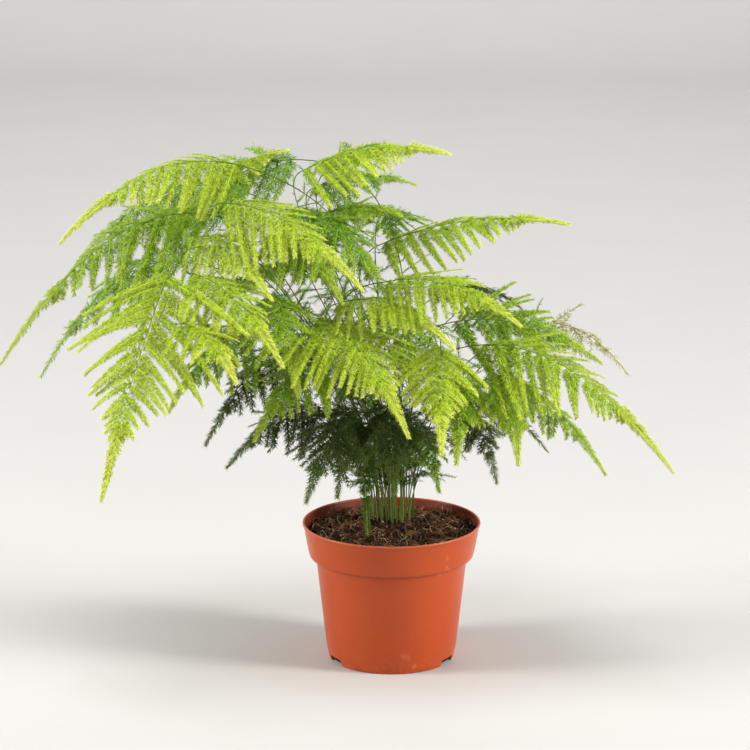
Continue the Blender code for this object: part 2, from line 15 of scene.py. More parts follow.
import bpy
import numpy as np
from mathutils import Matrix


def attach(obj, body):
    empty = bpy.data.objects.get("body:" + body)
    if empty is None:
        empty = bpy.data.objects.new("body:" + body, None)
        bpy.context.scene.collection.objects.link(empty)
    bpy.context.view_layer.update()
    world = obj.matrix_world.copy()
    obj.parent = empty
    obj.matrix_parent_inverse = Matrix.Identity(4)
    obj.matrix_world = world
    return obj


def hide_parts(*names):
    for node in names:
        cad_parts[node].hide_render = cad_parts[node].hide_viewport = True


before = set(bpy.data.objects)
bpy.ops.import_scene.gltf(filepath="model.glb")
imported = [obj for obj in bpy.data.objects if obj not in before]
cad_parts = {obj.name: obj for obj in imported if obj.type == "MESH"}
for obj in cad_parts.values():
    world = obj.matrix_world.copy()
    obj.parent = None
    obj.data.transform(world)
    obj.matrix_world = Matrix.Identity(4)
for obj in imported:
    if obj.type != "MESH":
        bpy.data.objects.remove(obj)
bpy.context.view_layer.update()

Array = np.ndarray
Colour = tuple[float, float, float]
log = logging.getLogger("lace_fern")

MM = 0.001
UP = np.array([0.0, 0.0, 1.0])
LEAF_MAP = "OFBake"


def unit(vectors: Array) -> Array:
    """Scale each vector to a length of one.

    Args:
        vectors: One vector, or many in rows.

    Returns:
        The same vectors, each divided by its length.
    """
    return vectors / np.linalg.norm(vectors, axis=-1, keepdims=True)


def turn_about(ways: Array) -> tuple[Array, Array]:
    """Give two directions across each way, at right angles to it and to each other.

    Args:
        ways: Unit vectors in rows.

    Returns:
        The first is the way's cross product with a fixed slanting line, made one long,
        and the second is the way's cross product with the first.
    """
    aside = unit(np.cross(ways, np.array([0.31, 0.52, 0.79])))
    return aside, np.cross(ways, aside)


@dataclass
class Skin:
    """Closed surfaces as triangles, in millimetres.

    Each point has a place on the piece's map, and each triangle the number of a finish.
    """

    points: Array
    triangles: Array
    places: Array
    finishes: Array

    @staticmethod
    def join(skins: Sequence["Skin"]) -> "Skin":
        """Put several skins into one, end to end.

        Args:
            skins: The skins, in order.

        Returns:
            One skin, in which each later skin's triangles count on from the earlier points.
        """
        starts = np.cumsum([0] + [len(skin.points) for skin in skins])
        return Skin(
            np.concatenate([skin.points for skin in skins]),
            np.concatenate([skin.triangles + start for skin, start in zip(skins, starts)]),
            np.concatenate([skin.places for skin in skins]),
            np.concatenate([skin.finishes for skin in skins]),
        )

    def mesh(self, name: str, finishes: Sequence[bpy.types.Material], map_name: str = "") -> bpy.types.Mesh:
        """Make the mesh, in metres.

        Args:
            name: The mesh's name.
            finishes: Its materials, in the order of the finish numbers.
            map_name: The name of its UV map, or nothing for no map.

        Returns:
            The mesh, smooth and with its materials.
        """
        mesh = bpy.data.meshes.new(name)
        corners = self.triangles.ravel().astype(np.int32)
        mesh.vertices.add(len(self.points))
        mesh.vertices.foreach_set("co", (self.points * MM).astype(np.float32).ravel())
        mesh.loops.add(len(corners))
        mesh.loops.foreach_set("vertex_index", corners)
        mesh.polygons.add(len(self.triangles))
        mesh.polygons.foreach_set("loop_start", np.arange(0, len(corners), 3, dtype=np.int32))
        mesh.polygons.foreach_set("material_index", self.finishes.astype(np.int32))
        if map_name:
            layer = mesh.uv_layers.new(name=map_name, do_init=False)
            layer.uv.foreach_set("vector", self.places[corners].astype(np.float32).ravel())
        mesh.update(calc_edges=True)
        mesh.shade_smooth()
        for finish in finishes:
            mesh.materials.append(finish)
        return mesh


def outward(shapes: Array, pattern: Array) -> Array:
    """List the triangles of many closed shapes of one pattern, each with its faces outwards.

    A shape's volume, times six, is the sum over its triangles of the triple product of
    their corners, measured from its first point. Where that is negative the shape is
    inside out, and its triangles are turned round.

    Args:
        shapes: The points, shapes by points by three.
        pattern: One shape's triangles, as numbers of its points.

    Returns:
        The triangles of all the shapes, in rows, as numbers of all the points.
    """
    corners = shapes[:, pattern] - shapes[:, :1, None, :]
    volumes = np.einsum("smi,smi->s", corners[:, :, 0], np.cross(corners[:, :, 1], corners[:, :, 2]))
    triangles = pattern + shapes.shape[1] * np.arange(len(shapes))[:, None, None]
    inverted = volumes < 0.0
    triangles[inverted] = triangles[inverted][:, :, ::-1]
    return triangles.reshape(-1, 3)


def spikes(
    feet: Array,
    ways: Array,
    asides: Array,
    overs: Array,
    lengths: Array,
    widths: Array,
    thick: float,
    places: Array,
) -> Skin:
    """Make a closed three-sided spike at each foot, flat on top and keeled below.

    Its three lower corners are the foot plus and minus half a width aside, and the foot
    minus the thickness times the width over. Its point is the foot plus the way times
    the length. On the map the corners lie close together at the spike's place, and the
    point a fifth of the map further along, where the colour is younger.

    Args:
        feet: The middle of each spike's foot, in rows.
        ways: The unit direction of each.
        asides: The unit direction across each, in its flat.
        overs: The unit direction square to its flat.
        lengths: The length of each.
        widths: The width of each at its foot.
        thick: The thickness at the foot, as a part of the width.
        places: Each spike's place on the map.

    Returns:
        One skin with four points and four triangles a spike.
    """
    half = 0.5 * widths[:, None] * asides
    keel = feet - thick * widths[:, None] * overs
    points = np.stack([feet + half, feet - half, keel, feet + ways * lengths[:, None]], axis=1)
    triangles = outward(points, np.array([[0, 3, 1], [1, 3, 2], [2, 3, 0], [0, 1, 2]]))
    steps = np.array([[0.0, 0.0], [0.0, 0.012], [0.006, 0.006], [0.2, 0.006]])
    spread = (places[:, None, :] + steps).reshape(-1, 2)
    return Skin(points.reshape(-1, 3), triangles, spread, np.zeros(len(triangles)))


def tubes(
    centres: Array, sides: Array, ups: Array, radii: Array, around: int, places: Array, finish: int = 0
) -> Skin:
    """Make closed tubes along paths.

    Round each centre stand `around` points at equal turns: the centre plus the radius
    times the cosine of the turn along the side and its sine along the up direction. The
    two ends are closed by fans from their first points. A longer side or up direction
    makes the tube oval.

    Args:
        centres: The paths' points, tubes by rings by three.
        sides: The sideways direction at each ring, in the same shape.
        ups: The upward direction at each ring, in the same shape.
        radii: The radius at each ring, tubes by rings.
        around: The number of points in a ring.
        places: Each ring's place on the map, tubes by rings by two.
        finish: The number of the tubes' finish.

    Returns:
        One skin with all the tubes.
    """
    many, rings = radii.shape
    turns = np.arange(around) * (2.0 * math.pi / around)
    across = np.cos(turns)[:, None] * sides[:, :, None, :] - np.sin(turns)[:, None] * ups[:, :, None, :]
    points = centres[:, :, None, :] + radii[:, :, None, None] * across
    ring, step = np.meshgrid(np.arange(rings - 1) * around, np.arange(around), indexing="ij")
    one, two = ring + step, ring + (step + 1) % around
    walls = np.stack([one, two, two + around, one, two + around, one + around], axis=-1).reshape(-1, 3)
    fan = np.stack([np.zeros(around - 2, int), np.arange(2, around), np.arange(1, around - 1)], axis=1)
    last = fan[:, [0, 2, 1]] + (rings - 1) * around
    pattern = np.concatenate([walls, fan, last])
    triangles = outward(points.reshape(many, rings * around, 3), pattern)
    edge = 0.008 * np.sin(turns)[:, None] * np.array([0.0, 1.0]) + 0.004 * np.cos(turns)[:, None]
    spread = (places[:, :, None, :] + edge).reshape(-1, 2)
    return Skin(points.reshape(-1, 3), triangles, spread, np.full(len(triangles), finish))


def noise(x: Array, y: Array, grain: float, seed: int) -> Array:
    """Give smooth hills between -1 and 1 over a plane.

    Random heights stand on a square lattice whose squares are `grain` wide, and between
    them the height is blended with 3s^2 - 2s^3 of the part s of the way across.

    Args:
        x: Places across.
        y: Places along, in the same shape.
        grain: The width of one square.
        seed: The number that fixes the random heights.

    Returns:
        The heights, in the shape of x.
    """
    lattice = np.random.default_rng(seed).uniform(-1.0, 1.0, (256, 256))
    across, along = x / grain + 1000.0, y / grain + 1000.0
    column, row = np.floor(across).astype(int), np.floor(along).astype(int)
    part, share = across - column, along - row
    part, share = part * part * (3.0 - 2.0 * part), share * share * (3.0 - 2.0 * share)
    low = lattice[column % 256, row % 256] * (1 - part) + lattice[(column + 1) % 256, row % 256] * part
    high = lattice[column % 256, (row + 1) % 256] * (1 - part)
    high = high + lattice[(column + 1) % 256, (row + 1) % 256] * part
    return low * (1 - share) + high * share


def show(name: str, mesh: bpy.types.Mesh, nodes: Sequence[str] = ()) -> bpy.types.Object:
    """Put a finished piece into the scene, riding on the model's body.

    Args:
        name: The piece's name.
        mesh: Its mesh, in place.
        nodes: The solids that it stands for.

    Returns:
        The piece.
    """
    piece = bpy.data.objects.new(name, mesh)
    bpy.context.scene.collection.objects.link(piece)
    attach(piece, "root")
    if nodes:
        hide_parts(*nodes)
    triangles = len(mesh.loop_triangles) or sum(face.loop_total - 2 for face in mesh.polygons)
    log.info("%s: %d triangles", name, triangles)
    return piece


class Wire:
    """A number that varies over a surface: a socket, with sums written as Python."""

    def __init__(self, tree: bpy.types.NodeTree, socket: bpy.types.NodeSocket) -> None:
        """Keep the tree and the socket."""
        self.tree = tree
        self.socket = socket

    def sum_with(
        self, operation: str, other: "Wire | float", swapped: bool = False, clamp: bool = False
    ) -> "Wire":
        """Add one Math node.

        Args:
            operation: The node's operation.
            other: The other number.
            swapped: Whether the other number comes first.
            clamp: Whether the result is kept between 0 and 1.

        Returns:
            The result.
        """
        node = self.tree.nodes.new("ShaderNodeMath")
        node.operation = operation
        node.use_clamp = clamp
        for place, value in zip((1, 0) if swapped else (0, 1), (self, other)):
            if isinstance(value, Wire):
                self.tree.links.new(value.socket, node.inputs[place])
            else:
                node.inputs[place].default_value = value
        return Wire(self.tree, node.outputs[0])

    def __add__(self, other: "Wire | float") -> "Wire":
        """Sum."""
        return self.sum_with("ADD", other)

    def __mul__(self, other: "Wire | float") -> "Wire":
        """Product."""
        return self.sum_with("MULTIPLY", other)

    def __sub__(self, other: "Wire | float") -> "Wire":
        """Difference."""
        return self.sum_with("SUBTRACT", other)

    def __rsub__(self, other: float) -> "Wire":
        """Difference, the other way round."""
        return self.sum_with("SUBTRACT", other, swapped=True)

    __radd__ = __add__
    __rmul__ = __mul__

    def between(self, low: float, high: float) -> "Wire":
        """Give 0 below the low value, 1 above the high one, and an even slope between."""
        return (self - low).sum_with("MULTIPLY", 1.0 / (high - low), clamp=True)


class Paint:
    """A Principled material being made, with one method that adds any node."""

    def __init__(self, name: str, **constants: float) -> None:
        """Start a material whose shader has these constant sockets, with _ for a space."""
        self.material = bpy.data.materials.new(name)
        self.material.use_nodes = True
        self.tree = self.material.node_tree
        self.shader = self.tree.nodes["Principled BSDF"]
        for socket, value in constants.items():
            self.shader.inputs[socket.replace("_", " ")].default_value = value

    def node(self, kind: str, settings: Mapping[str, Any], values: Mapping[Any, Any]) -> bpy.types.Node:
        """Add a node.

        Args:
            kind: Its type, without the leading ShaderNode.
            settings: What is set on it first. For a ramp, `stops` lists places and colours.
            values: For each input, by name or number, a value, a colour, a wire or a socket.

        Returns:
            The node.
        """
        node = self.tree.nodes.new("ShaderNode" + kind)
        for name, value in settings.items():
            if name == "stops":
                self.set_stops(node.color_ramp, value)
            else:
                setattr(node, name, value)
        for place, value in values.items():
            self.feed(node.inputs[place], value)
        return node

    @staticmethod
    def set_stops(ramp: bpy.types.ColorRamp, stops: Sequence[tuple[float, Colour]]) -> None:
        """Give a ramp its stops, from the first to the last.

        Args:
            ramp: The ramp.
            stops: Each stop's place and colour.
        """
        while len(ramp.elements) < len(stops):
            ramp.elements.new(0.5)
        for element, (place, colour) in zip(ramp.elements, stops):
            element.position = place
            element.color = (*colour, 1.0)

    def feed(self, socket: bpy.types.NodeSocket, value: Any) -> None:
        """Set or link an input.

        Args:
            socket: The input.
            value: A number, a vector, a colour of three, a wire or an output socket.
        """
        if isinstance(value, Wire):
            self.tree.links.new(value.socket, socket)
        elif isinstance(value, bpy.types.NodeSocket):
            self.tree.links.new(value, socket)
        elif socket.type == "RGBA":
            socket.default_value = (*value, 1.0)
        else:
            socket.default_value = value

    def wire(self, node: bpy.types.Node, output: Any = 0) -> Wire:
        """Take one output of a node as a number."""
        return Wire(self.tree, node.outputs[output])

    def place(self) -> bpy.types.NodeSocket:
        """Give the object coordinates, in metres."""
        return self.node("TexCoord", {}, {}).outputs["Object"]

    def stretched(self, scale: Colour) -> bpy.types.NodeSocket:
        """Give the object coordinates, each multiplied by its own number."""
        return self.node("Mapping", {}, {"Vector": self.place(), "Scale": scale}).outputs[0]

    def grain(self, size: float, detail: float = 3.0, vector: Any = None, roughness: float = 0.55) -> Wire:
        """Give a noise between 0 and 1.

        Args:
            size: The number of its hills in a metre, or in one step of the vector.
            detail: Its octaves.
            vector: Where it is read, or nothing for the object coordinates.
            roughness: How strong the finer octaves are.

        Returns:
            The noise.
        """
        values = {"Scale": size, "Detail": detail, "Roughness": roughness}
        values["Vector"] = self.place() if vector is None else vector
        return self.wire(self.node("TexNoise", {}, values))

    def ramp(self, factor: Wire, stops: Sequence[tuple[float, Colour]]) -> bpy.types.NodeSocket:
        """Turn a number into a colour by a ramp.

        Args:
            factor: The number.
            stops: Each stop's place and colour.

        Returns:
            The colour.
        """
        return self.node("ValToRGB", {"stops": stops}, {0: factor}).outputs[0]

    def mix(self, one: Any, two: Any, factor: Any, way: str = "MIX") -> bpy.types.NodeSocket:
        """Mix two colours.

        Args:
            one: The first colour.
            two: The second colour.
            factor: How much of the second.
            way: How they mix.

        Returns:
            The mixed colour.
        """
        settings = {"data_type": "RGBA", "blend_type": way, "clamp_factor": True}
        return self.node("Mix", settings, {0: factor, 6: one, 7: two}).outputs[2]

    def finish(
        self, colour: Any, roughness: Any = None, height: Any = None, depth: float = 0.0
    ) -> bpy.types.Material:
        """Link the shader's inputs.

        Args:
            colour: The base colour.
            roughness: The roughness, if it varies.
            height: The height for a bump, from 0 to 1, if it has one.
            depth: How high, in metres, the bump's 1 is.

        Returns:
            The material.
        """
        self.feed(self.shader.inputs["Base Color"], colour)
        if roughness is not None:
            self.feed(self.shader.inputs["Roughness"], roughness)
        if height is not None:
            bump = self.node("Bump", {}, {"Height": height, "Distance": depth, "Strength": 1.0})
            self.feed(self.shader.inputs["Normal"], bump.outputs[0])
        return self.material


class Tone(Enum):
    """The ages of foliage that the plant shows. The deep tone is older, darker foliage, and
    its colours also carry painted shade for the low, inner fronds that have it.
    """

    BRIGHT = "bright"
    FRESH = "fresh"
    GREEN = "green"
    DEEP = "deep"
    DRY = "dry"


@dataclass(frozen=True)
class LeafFinish:
    """The colours of one age of foliage, from a pinna's root to its tip, its painted shade, and its ribs."""

    root: Colour
    middle: Colour
    tip: Colour
    # The painted shade colour, mixed in where foliage stands in shade.
    shade: Colour
    rib: Colour
    young_rib: Colour
    straw: Colour = (0.50, 0.40, 0.17)
    roughness: float = 0.5

    def needles(self, name: str) -> bpy.types.Material:
        """Make the needles' material.

        Along the map's first axis the colour runs from root to tip, and along its second
        it wanders from a darker, bluer green to the plain colour and on to a paler one,
        partly at random and partly as painted shade and painted highlight: low places
        darken low, inner and downturned foliage, and high ones pale upturned needles.

        Args:
            name: The material's name.

        Returns:
            The material.
        """
        paint = Paint(name, Roughness=self.roughness, Specular_IOR_Level=0.2)
        lay = paint.node("UVMap", {"uv_map": LEAF_MAP}, {}).outputs[0]
        split = paint.node("SeparateXYZ", {}, {0: lay})
        age, chance = paint.wire(split, 0), paint.wire(split, 1)
        mottle = paint.grain(30.0, 2.0, lay)
        age = age + (mottle - 0.5) * 0.16
        colour = paint.ramp(age, ((0.05, self.root), (0.5, self.middle), (0.92, self.tip)))
        # Painted shade: low places on the map's second axis are mixed towards the shade colour.
        colour = paint.mix(colour, self.shade, (1.0 - chance.between(0.0, 0.5)) * 0.92)
        # Painted highlight, in part: high places, given to needles lifted towards the light, are mixed
        # towards a paler tip colour.
        pale = tuple(min(1.0, 0.88 * value + 0.1) for value in self.tip)
        colour = paint.mix(colour, pale, chance.between(0.62, 0.9) * 0.35)
        return paint.finish(colour)

    def ribs(self, name: str) -> bpy.types.Material:
        """Make the material of the stems and midribs, paler towards the tip, and straw-coloured on some.

        Args:
            name: The material's name.

        Returns:
            The material.
        """
        paint = Paint(name, Roughness=0.5, Specular_IOR_Level=0.25)
        lay = paint.node("UVMap", {"uv_map": LEAF_MAP}, {}).outputs[0]
        split = paint.node("SeparateXYZ", {}, {0: lay})
        age = paint.wire(split, 0) + (paint.grain(60.0, 2.0, lay) - 0.5) * 0.2
        # Painted shade in part: the dark rib colour at the stems' foot is their own dark green, darkened
        # further for the shade under the foliage.
        colour = paint.ramp(age, ((0.05, self.rib), (0.45, self.rib), (0.85, self.young_rib)))
        colour = paint.mix(colour, self.straw, paint.wire(split, 1).between(0.978, 0.992) * 0.6)
        return paint.finish(colour)


LEAF_FINISHES = {
    Tone.BRIGHT: LeafFinish(
        (0.32, 0.50, 0.018), (0.54, 0.71, 0.038), (0.86, 0.91, 0.16), (0.14, 0.28, 0.008),
        (0.11, 0.18, 0.02), (0.52, 0.64, 0.09),
    ),
    Tone.FRESH: LeafFinish(
        (0.22, 0.41, 0.014), (0.38, 0.58, 0.026), (0.69, 0.80, 0.10), (0.08, 0.20, 0.008),
        (0.10, 0.17, 0.02), (0.38, 0.52, 0.07),
    ),
    Tone.GREEN: LeafFinish(
        (0.15, 0.35, 0.016), (0.30, 0.53, 0.030), (0.54, 0.72, 0.08), (0.026, 0.070, 0.007),
        (0.09, 0.15, 0.02), (0.30, 0.42, 0.08),
    ),
    # Painted shade in part: the low, inner fronds' colours are darkened for the shade they stand in.
    Tone.DEEP: LeafFinish(
        (0.034, 0.070, 0.009), (0.07, 0.12, 0.015), (0.16, 0.23, 0.028), (0.014, 0.036, 0.006),
        (0.07, 0.12, 0.015), (0.16, 0.25, 0.05),
    ),
    Tone.DRY: LeafFinish(
        (0.30, 0.31, 0.05), (0.48, 0.50, 0.09), (0.68, 0.70, 0.18), (0.20, 0.18, 0.03),
        (0.30, 0.27, 0.08), (0.50, 0.47, 0.15),
    ),
}


@dataclass(frozen=True)
class Habit:
    """How one age of foliage carries its branchlets and needles, in millimetres and degrees."""

    crowding: float = 1.35
    pitch: float = 1.13
    branchlet: float = 1.6
    fill: float = 0.34
    branchlet_angle: float = 54.0
    needle_step: float = 0.78
    needle: float = 3.3
    needle_width: float = 0.74
    needle_angle: float = 38.0
    keel: float = 0.35
    thickness: float = 0.24
    core: float = 1.0
    unruly: float = 0.6


HABITS = {
    Tone.BRIGHT: Habit(),
    Tone.FRESH: Habit(needle=3.7, needle_width=0.72, pitch=1.4, fill=0.5, unruly=0.9),
    Tone.GREEN: Habit(needle=4.3, needle_width=0.64, thickness=0.32, pitch=1.6, fill=0.62, unruly=1.1),
    Tone.DEEP: Habit(needle=4.8, needle_width=0.58, thickness=0.34, pitch=1.65, fill=0.68, unruly=1.3),
    Tone.DRY: Habit(
        crowding=1.3, pitch=2.0, fill=0.55, needle_step=1.0, needle=3.4,
        needle_width=0.55, thickness=0.6, core=0.45, unruly=3.2,
    ),
}


@dataclass(frozen=True)
class Crown:
    """Where the stems stand in the soil, in millimetres."""

    across: float = 1.0
    along: float = 20.0
    radius: float = 15.5
    stems: int = 46
    collar: float = 95.0
    sunk: float = 76.0
    golden_turn: float = math.radians(137.508)

    def middle(self) -> Array:
        """Give the crown's middle on the level plane."""
        return np.array([self.across, self.along])

    def foot(self, spot: int) -> Array:
        """Give a foot of the spiral.

        Spot k stands k golden turns round, at the radius times the root of (k + 1/2) / stems.

        Args:
            spot: The foot's number in the spiral.

        Returns:
            Its place across and along.
        """
        turn = spot * self.golden_turn
        reach = self.radius * math.sqrt((spot + 0.5) / self.stems)
        return self.middle() + reach * np.array([math.cos(turn), math.sin(turn)])


CROWN = Crown()


@dataclass(frozen=True)
class Tuft:
    """The small sprays on the stems, in millimetres and degrees."""

    bare: float = 17.0
    pitch: float = 10.9
    lengths: tuple[float, float] = (15.0, 29.0)
    lean: float = 62.0
    rib: float = 0.32
    needle: float = 5.4
    needle_pitch: float = 1.3
    needle_width: float = 0.6
    splay: float = 46.0
    # The tufts' painted shade: their place on the map's second axis, low at the stem's foot and rising with
    # height.
    low_chance: float = 0.12
    more_chance: float = 0.4


TUFT = Tuft()


@dataclass(frozen=True)
class Pinnae:
    """A frond's side sprays as arrays, one row each: where they start, how they run and how long they are."""

    roots: Array
    ways: Array
    falls: Array
    lengths: Array
    normals: Array
    gaps: Array
    parts: Array

    def at(self, which: Array, along: Array) -> tuple[Array, Array]:
        """Follow the pinnae.

        The point is the root, plus the way times length times s, plus the fall times s
        squared, and the heading is that curve's slope.

        Args:
            which: The pinna of each point.
            along: The part s of its length.

        Returns:
            The points and the unit headings.
        """
        s = along[:, None]
        run = self.ways[which] * self.lengths[which][:, None]
        points = self.roots[which] + run * s + self.falls[which] * s * s
        return points, unit(run + 2.0 * s * self.falls[which])


@dataclass(frozen=True)
class Frond:
    """One frond: a wiry stem and a flat, arching blade. Sizes in millimetres and degrees."""

    name: str
    base: tuple[float, float, float]
    tip: tuple[float, float, float]
    arch: float
    bank: float
    fold: float
    spread: float
    leaflets: int
    tone: Tone
    spot: int
    rise: float
    sway: float
    # Painted shade: how far the frond's place on the map's second axis is lowered, so that low, shaded fronds
    # are painted darker; a negative value paints a lit frond paler.
    dark: float = 0.0
    first: float = 0.02
    last: float = 0.76
    stem_radius: float = 0.42
    rib_radius: float = 0.36
    tip_radius: float = 0.2
    wide_angle: float = 70.0
    narrow_angle: float = 44.0
    droop: float = 0.14
    sweep: float = 0.10

    def habit(self) -> Habit:
        """Give the way this frond's foliage grows."""
        return HABITS[self.tone]

    def midrib(self, t: Array) -> tuple[Array, Array]:
        """Follow the blade's midrib.

        It is the quadratic curve from base to tip whose bend point stands twice the arch
        above the middle of the straight line between them.

        Args:
            t: The parts of the way from base to tip.

        Returns:
            The points and the unit headings.
        """
        base, tip = np.array(self.base, float), np.array(self.tip, float)
        bend = (base + tip) / 2.0 + 2.0 * self.arch * UP
        t = t[:, None]
        points = (1 - t) ** 2 * base + 2 * t * (1 - t) * bend + t * t * tip
        return points, unit(2 * (1 - t) * (bend - base) + 2 * t * (tip - bend))

    def stem(self, t: Array) -> tuple[Array, Array]:
        """Follow the stem from its collar to the blade.

        It is a cubic curve. Its second point stands above the collar, and its third lies
        back from the blade's base along the midrib's heading, by 8 to 34 parts in a
        hundred of the distance, the more the further the blade leads outwards. Both
        sway to one side.

        Args:
            t: The parts of the way from collar to blade.

        Returns:
            The points and the unit headings.
        """
        ends, headings = self.midrib(np.zeros(1))
        end, heading = ends[0], headings[0]
        start = np.append(CROWN.foot(self.spot), CROWN.collar)
        outward = np.append(unit(end[:2] - CROWN.middle()), 0.0)
        sideways = self.sway * np.array([-outward[1], outward[0], 0.0])
        rise = start + self.rise * (end[2] - start[2]) * UP + 0.3 * sideways
        part = 0.08 + 0.26 * (1.0 + outward @ heading) / 2.0
        reach = end - heading * part * np.linalg.norm(end - start) + sideways
        t = t[:, None]
        points = (1 - t) ** 3 * start + 3 * t * (1 - t) ** 2 * rise + 3 * t * t * (1 - t) * reach + t**3 * end
        slope = (1 - t) ** 2 * (rise - start) + 2 * t * (1 - t) * (reach - rise) + t * t * (end - reach)
        return points, unit(slope)

    def sides(self, headings: Array, turned: Array) -> tuple[Array, Array]:
        """Give the blade's side and up directions.

        The side is the level line across the chord, made square to the heading, then
        turned about it by the bank, which brings the near side down.

        Args:
            headings: The unit headings.
            turned: How much of the bank each has, from 0 to 1.

        Returns:
            The unit side and up directions.
        """
        way = np.array(self.tip, float) - np.array(self.base, float)
        level = unit(np.array([way[1], -way[0], 0.0]))
        side = unit(level - headings * (headings @ level)[:, None])
        up = np.cross(side, headings)
        bank = (math.radians(self.bank) * (1.0 if level[1] > 0.0 else -1.0) * turned)[:, None]
        banked = np.cos(bank) * side + np.sin(bank) * up
        return banked, np.cross(banked, headings)

    def spread_at(self, part: Array) -> Array:
        """Give the pinnae's length: a rounded start, then a fall with the power 1.2 to the tip."""
        return (0.82 + 0.18 * np.minimum(1.0, part / 0.15)) * (0.08 + 0.92 * (1.0 - part) ** 1.2)

    def pinnae(self, rng: np.random.Generator) -> Pinnae:
        """Place the pinnae on both sides of the midrib, closer together towards the tip.

        Args:
            rng: The source of the small differences between them.

        Returns:
            The pinnae, the left side's first.
        """
        count = max(6, round(self.habit().crowding * self.leaflets))
        steps = np.arange(count)
        unruly = self.habit().unruly
        part = np.concatenate([steps + 0.25, steps + 0.75]) + unruly * rng.uniform(-0.2, 0.2, 2 * count)
        part = part / count
        sign = np.repeat([1.0, -1.0], count)[:, None]
        t = self.first + (self.last - self.first) * (1.0 - (1.0 - part) ** 1.25)
        roots, headings = self.midrib(t)
        side, up = self.sides(headings, np.ones(len(t)))
        fold = math.radians(self.fold)
        outward = math.cos(fold) * sign * side - math.sin(fold) * up
        normals = math.cos(fold) * up + math.sin(fold) * sign * side
        angle = self.wide_angle + (self.narrow_angle - self.wide_angle) * part
        angle = angle + unruly * rng.normal(0.0, 6.0, len(t))
        angle = np.radians(angle)[:, None]
        lift = unruly * rng.normal(0.0, 0.12, len(t))[:, None]
        ways = unit(np.cos(angle) * headings + np.sin(angle) * outward + lift * normals)
        lengths = self.spread * self.spread_at(part) * (0.97 + unruly * rng.uniform(-0.15, 0.13, len(t)))
        droop = self.droop * (1.1 + unruly * rng.uniform(-0.9, 1.0, len(t)))[:, None]
        falls = lengths[:, None] * (self.sweep * headings - droop * UP)
        span = np.linalg.norm(np.array(self.tip, float) - np.array(self.base, float))
        reach = span * (self.last - self.first)
        gaps = reach / count * 1.25 * (1.0 - part) ** 0.25 * np.sin(angle[:, 0])
        return Pinnae(roots, ways, falls, lengths, normals, gaps, part)

    def ribs(self, pinnae: Pinnae, chance: float) -> Skin:
        """Make the pinnae's ribs: flattened three-sided tubes, straight on from their roots.

        Args:
            pinnae: The pinnae.
            chance: The frond's own place on the map's second axis.

        Returns:
            The ribs.
        """
        rings = 5
        many = len(pinnae.lengths)
        s = np.linspace(0.0, 0.97, rings)
        which, along = np.repeat(np.arange(many), rings), np.tile(s, many)
        points, headings = pinnae.at(which, along)
        across = unit(np.cross(pinnae.normals[which], headings))
        over = np.cross(headings, across)
        radii = np.tile(self.habit().core * (1.0 - 0.75 * s**1.5), (many, 1))
        # Painted shade: the pinna ribs darken with the frond's painted shade offset.
        tone = max(0.03, 0.3 + 0.2 * chance - 0.6 * self.dark)
        places = np.stack([0.1 + 0.55 * along, np.full(len(along), tone)], axis=1)
        shape = (many, rings, 3)
        return tubes(
            points.reshape(shape), across.reshape(shape), 0.25 * over.reshape(shape), radii, 3,
            places.reshape(many, rings, 2),
        )

    def axis(self, chance: float) -> Skin:
        """Make the stem and midrib: one six-sided tube from under the soil to the tip.

        Args:
            chance: The frond's own place on the map's second axis.

        Returns:
            The tube.
        """
        low, high = np.linspace(0.0, 1.0, 26), np.linspace(0.0, 1.0, 22)[1:]
        stem, stem_ways = self.stem(low)
        blade, blade_ways = self.midrib(high)
        foot = stem[:1] + (CROWN.sunk - CROWN.collar) * UP
        points = np.concatenate([foot, stem, blade])
        ways = np.concatenate([stem_ways[:1], stem_ways, blade_ways])
        turned = np.concatenate([[0.0], low, np.ones(len(high))])
        side, up = self.sides(ways, turned)
        radii = np.concatenate([
            [self.stem_radius],
            self.stem_radius + (self.rib_radius - self.stem_radius) * low,
            self.rib_radius + (self.tip_radius - self.rib_radius) * high**0.8,
        ])
        age = np.concatenate([[0.0], 0.35 * low, 0.35 + 0.6 * high])
        places = np.stack([age, np.full(len(age), 0.94 + 0.045 * chance)], axis=1)
        return tubes(points[None], side[None], up[None], radii[None], 6, places[None], 1)

    def thorns(self, rng: np.random.Generator) -> Skin:
        """Make the small thorns that stand along the stem, pointing up and out.

        Args:
            rng: The source of their places.

        Returns:
            The thorns.
        """
        many = 7
        t = np.linspace(0.12, 0.95, many) + rng.uniform(-0.04, 0.04, many)
        points, ways = self.stem(t)
        aside, over = turn_about(ways)
        turn = rng.uniform(0.0, 2.0 * math.pi, many)[:, None]
        out = unit(0.8 * ways + np.cos(turn) * aside + np.sin(turn) * over)
        places = np.stack([0.2 * t, np.full(many, 0.95)], axis=1)
        out_side = unit(np.cross(out, ways))
        sizes = rng.uniform(1.8, 3.0, many)
        widths = np.full(many, 0.7)
        skin = spikes(points, out, out_side, np.cross(out_side, out), sizes, widths, 0.8, places)
        skin.finishes[:] = 1
        return skin

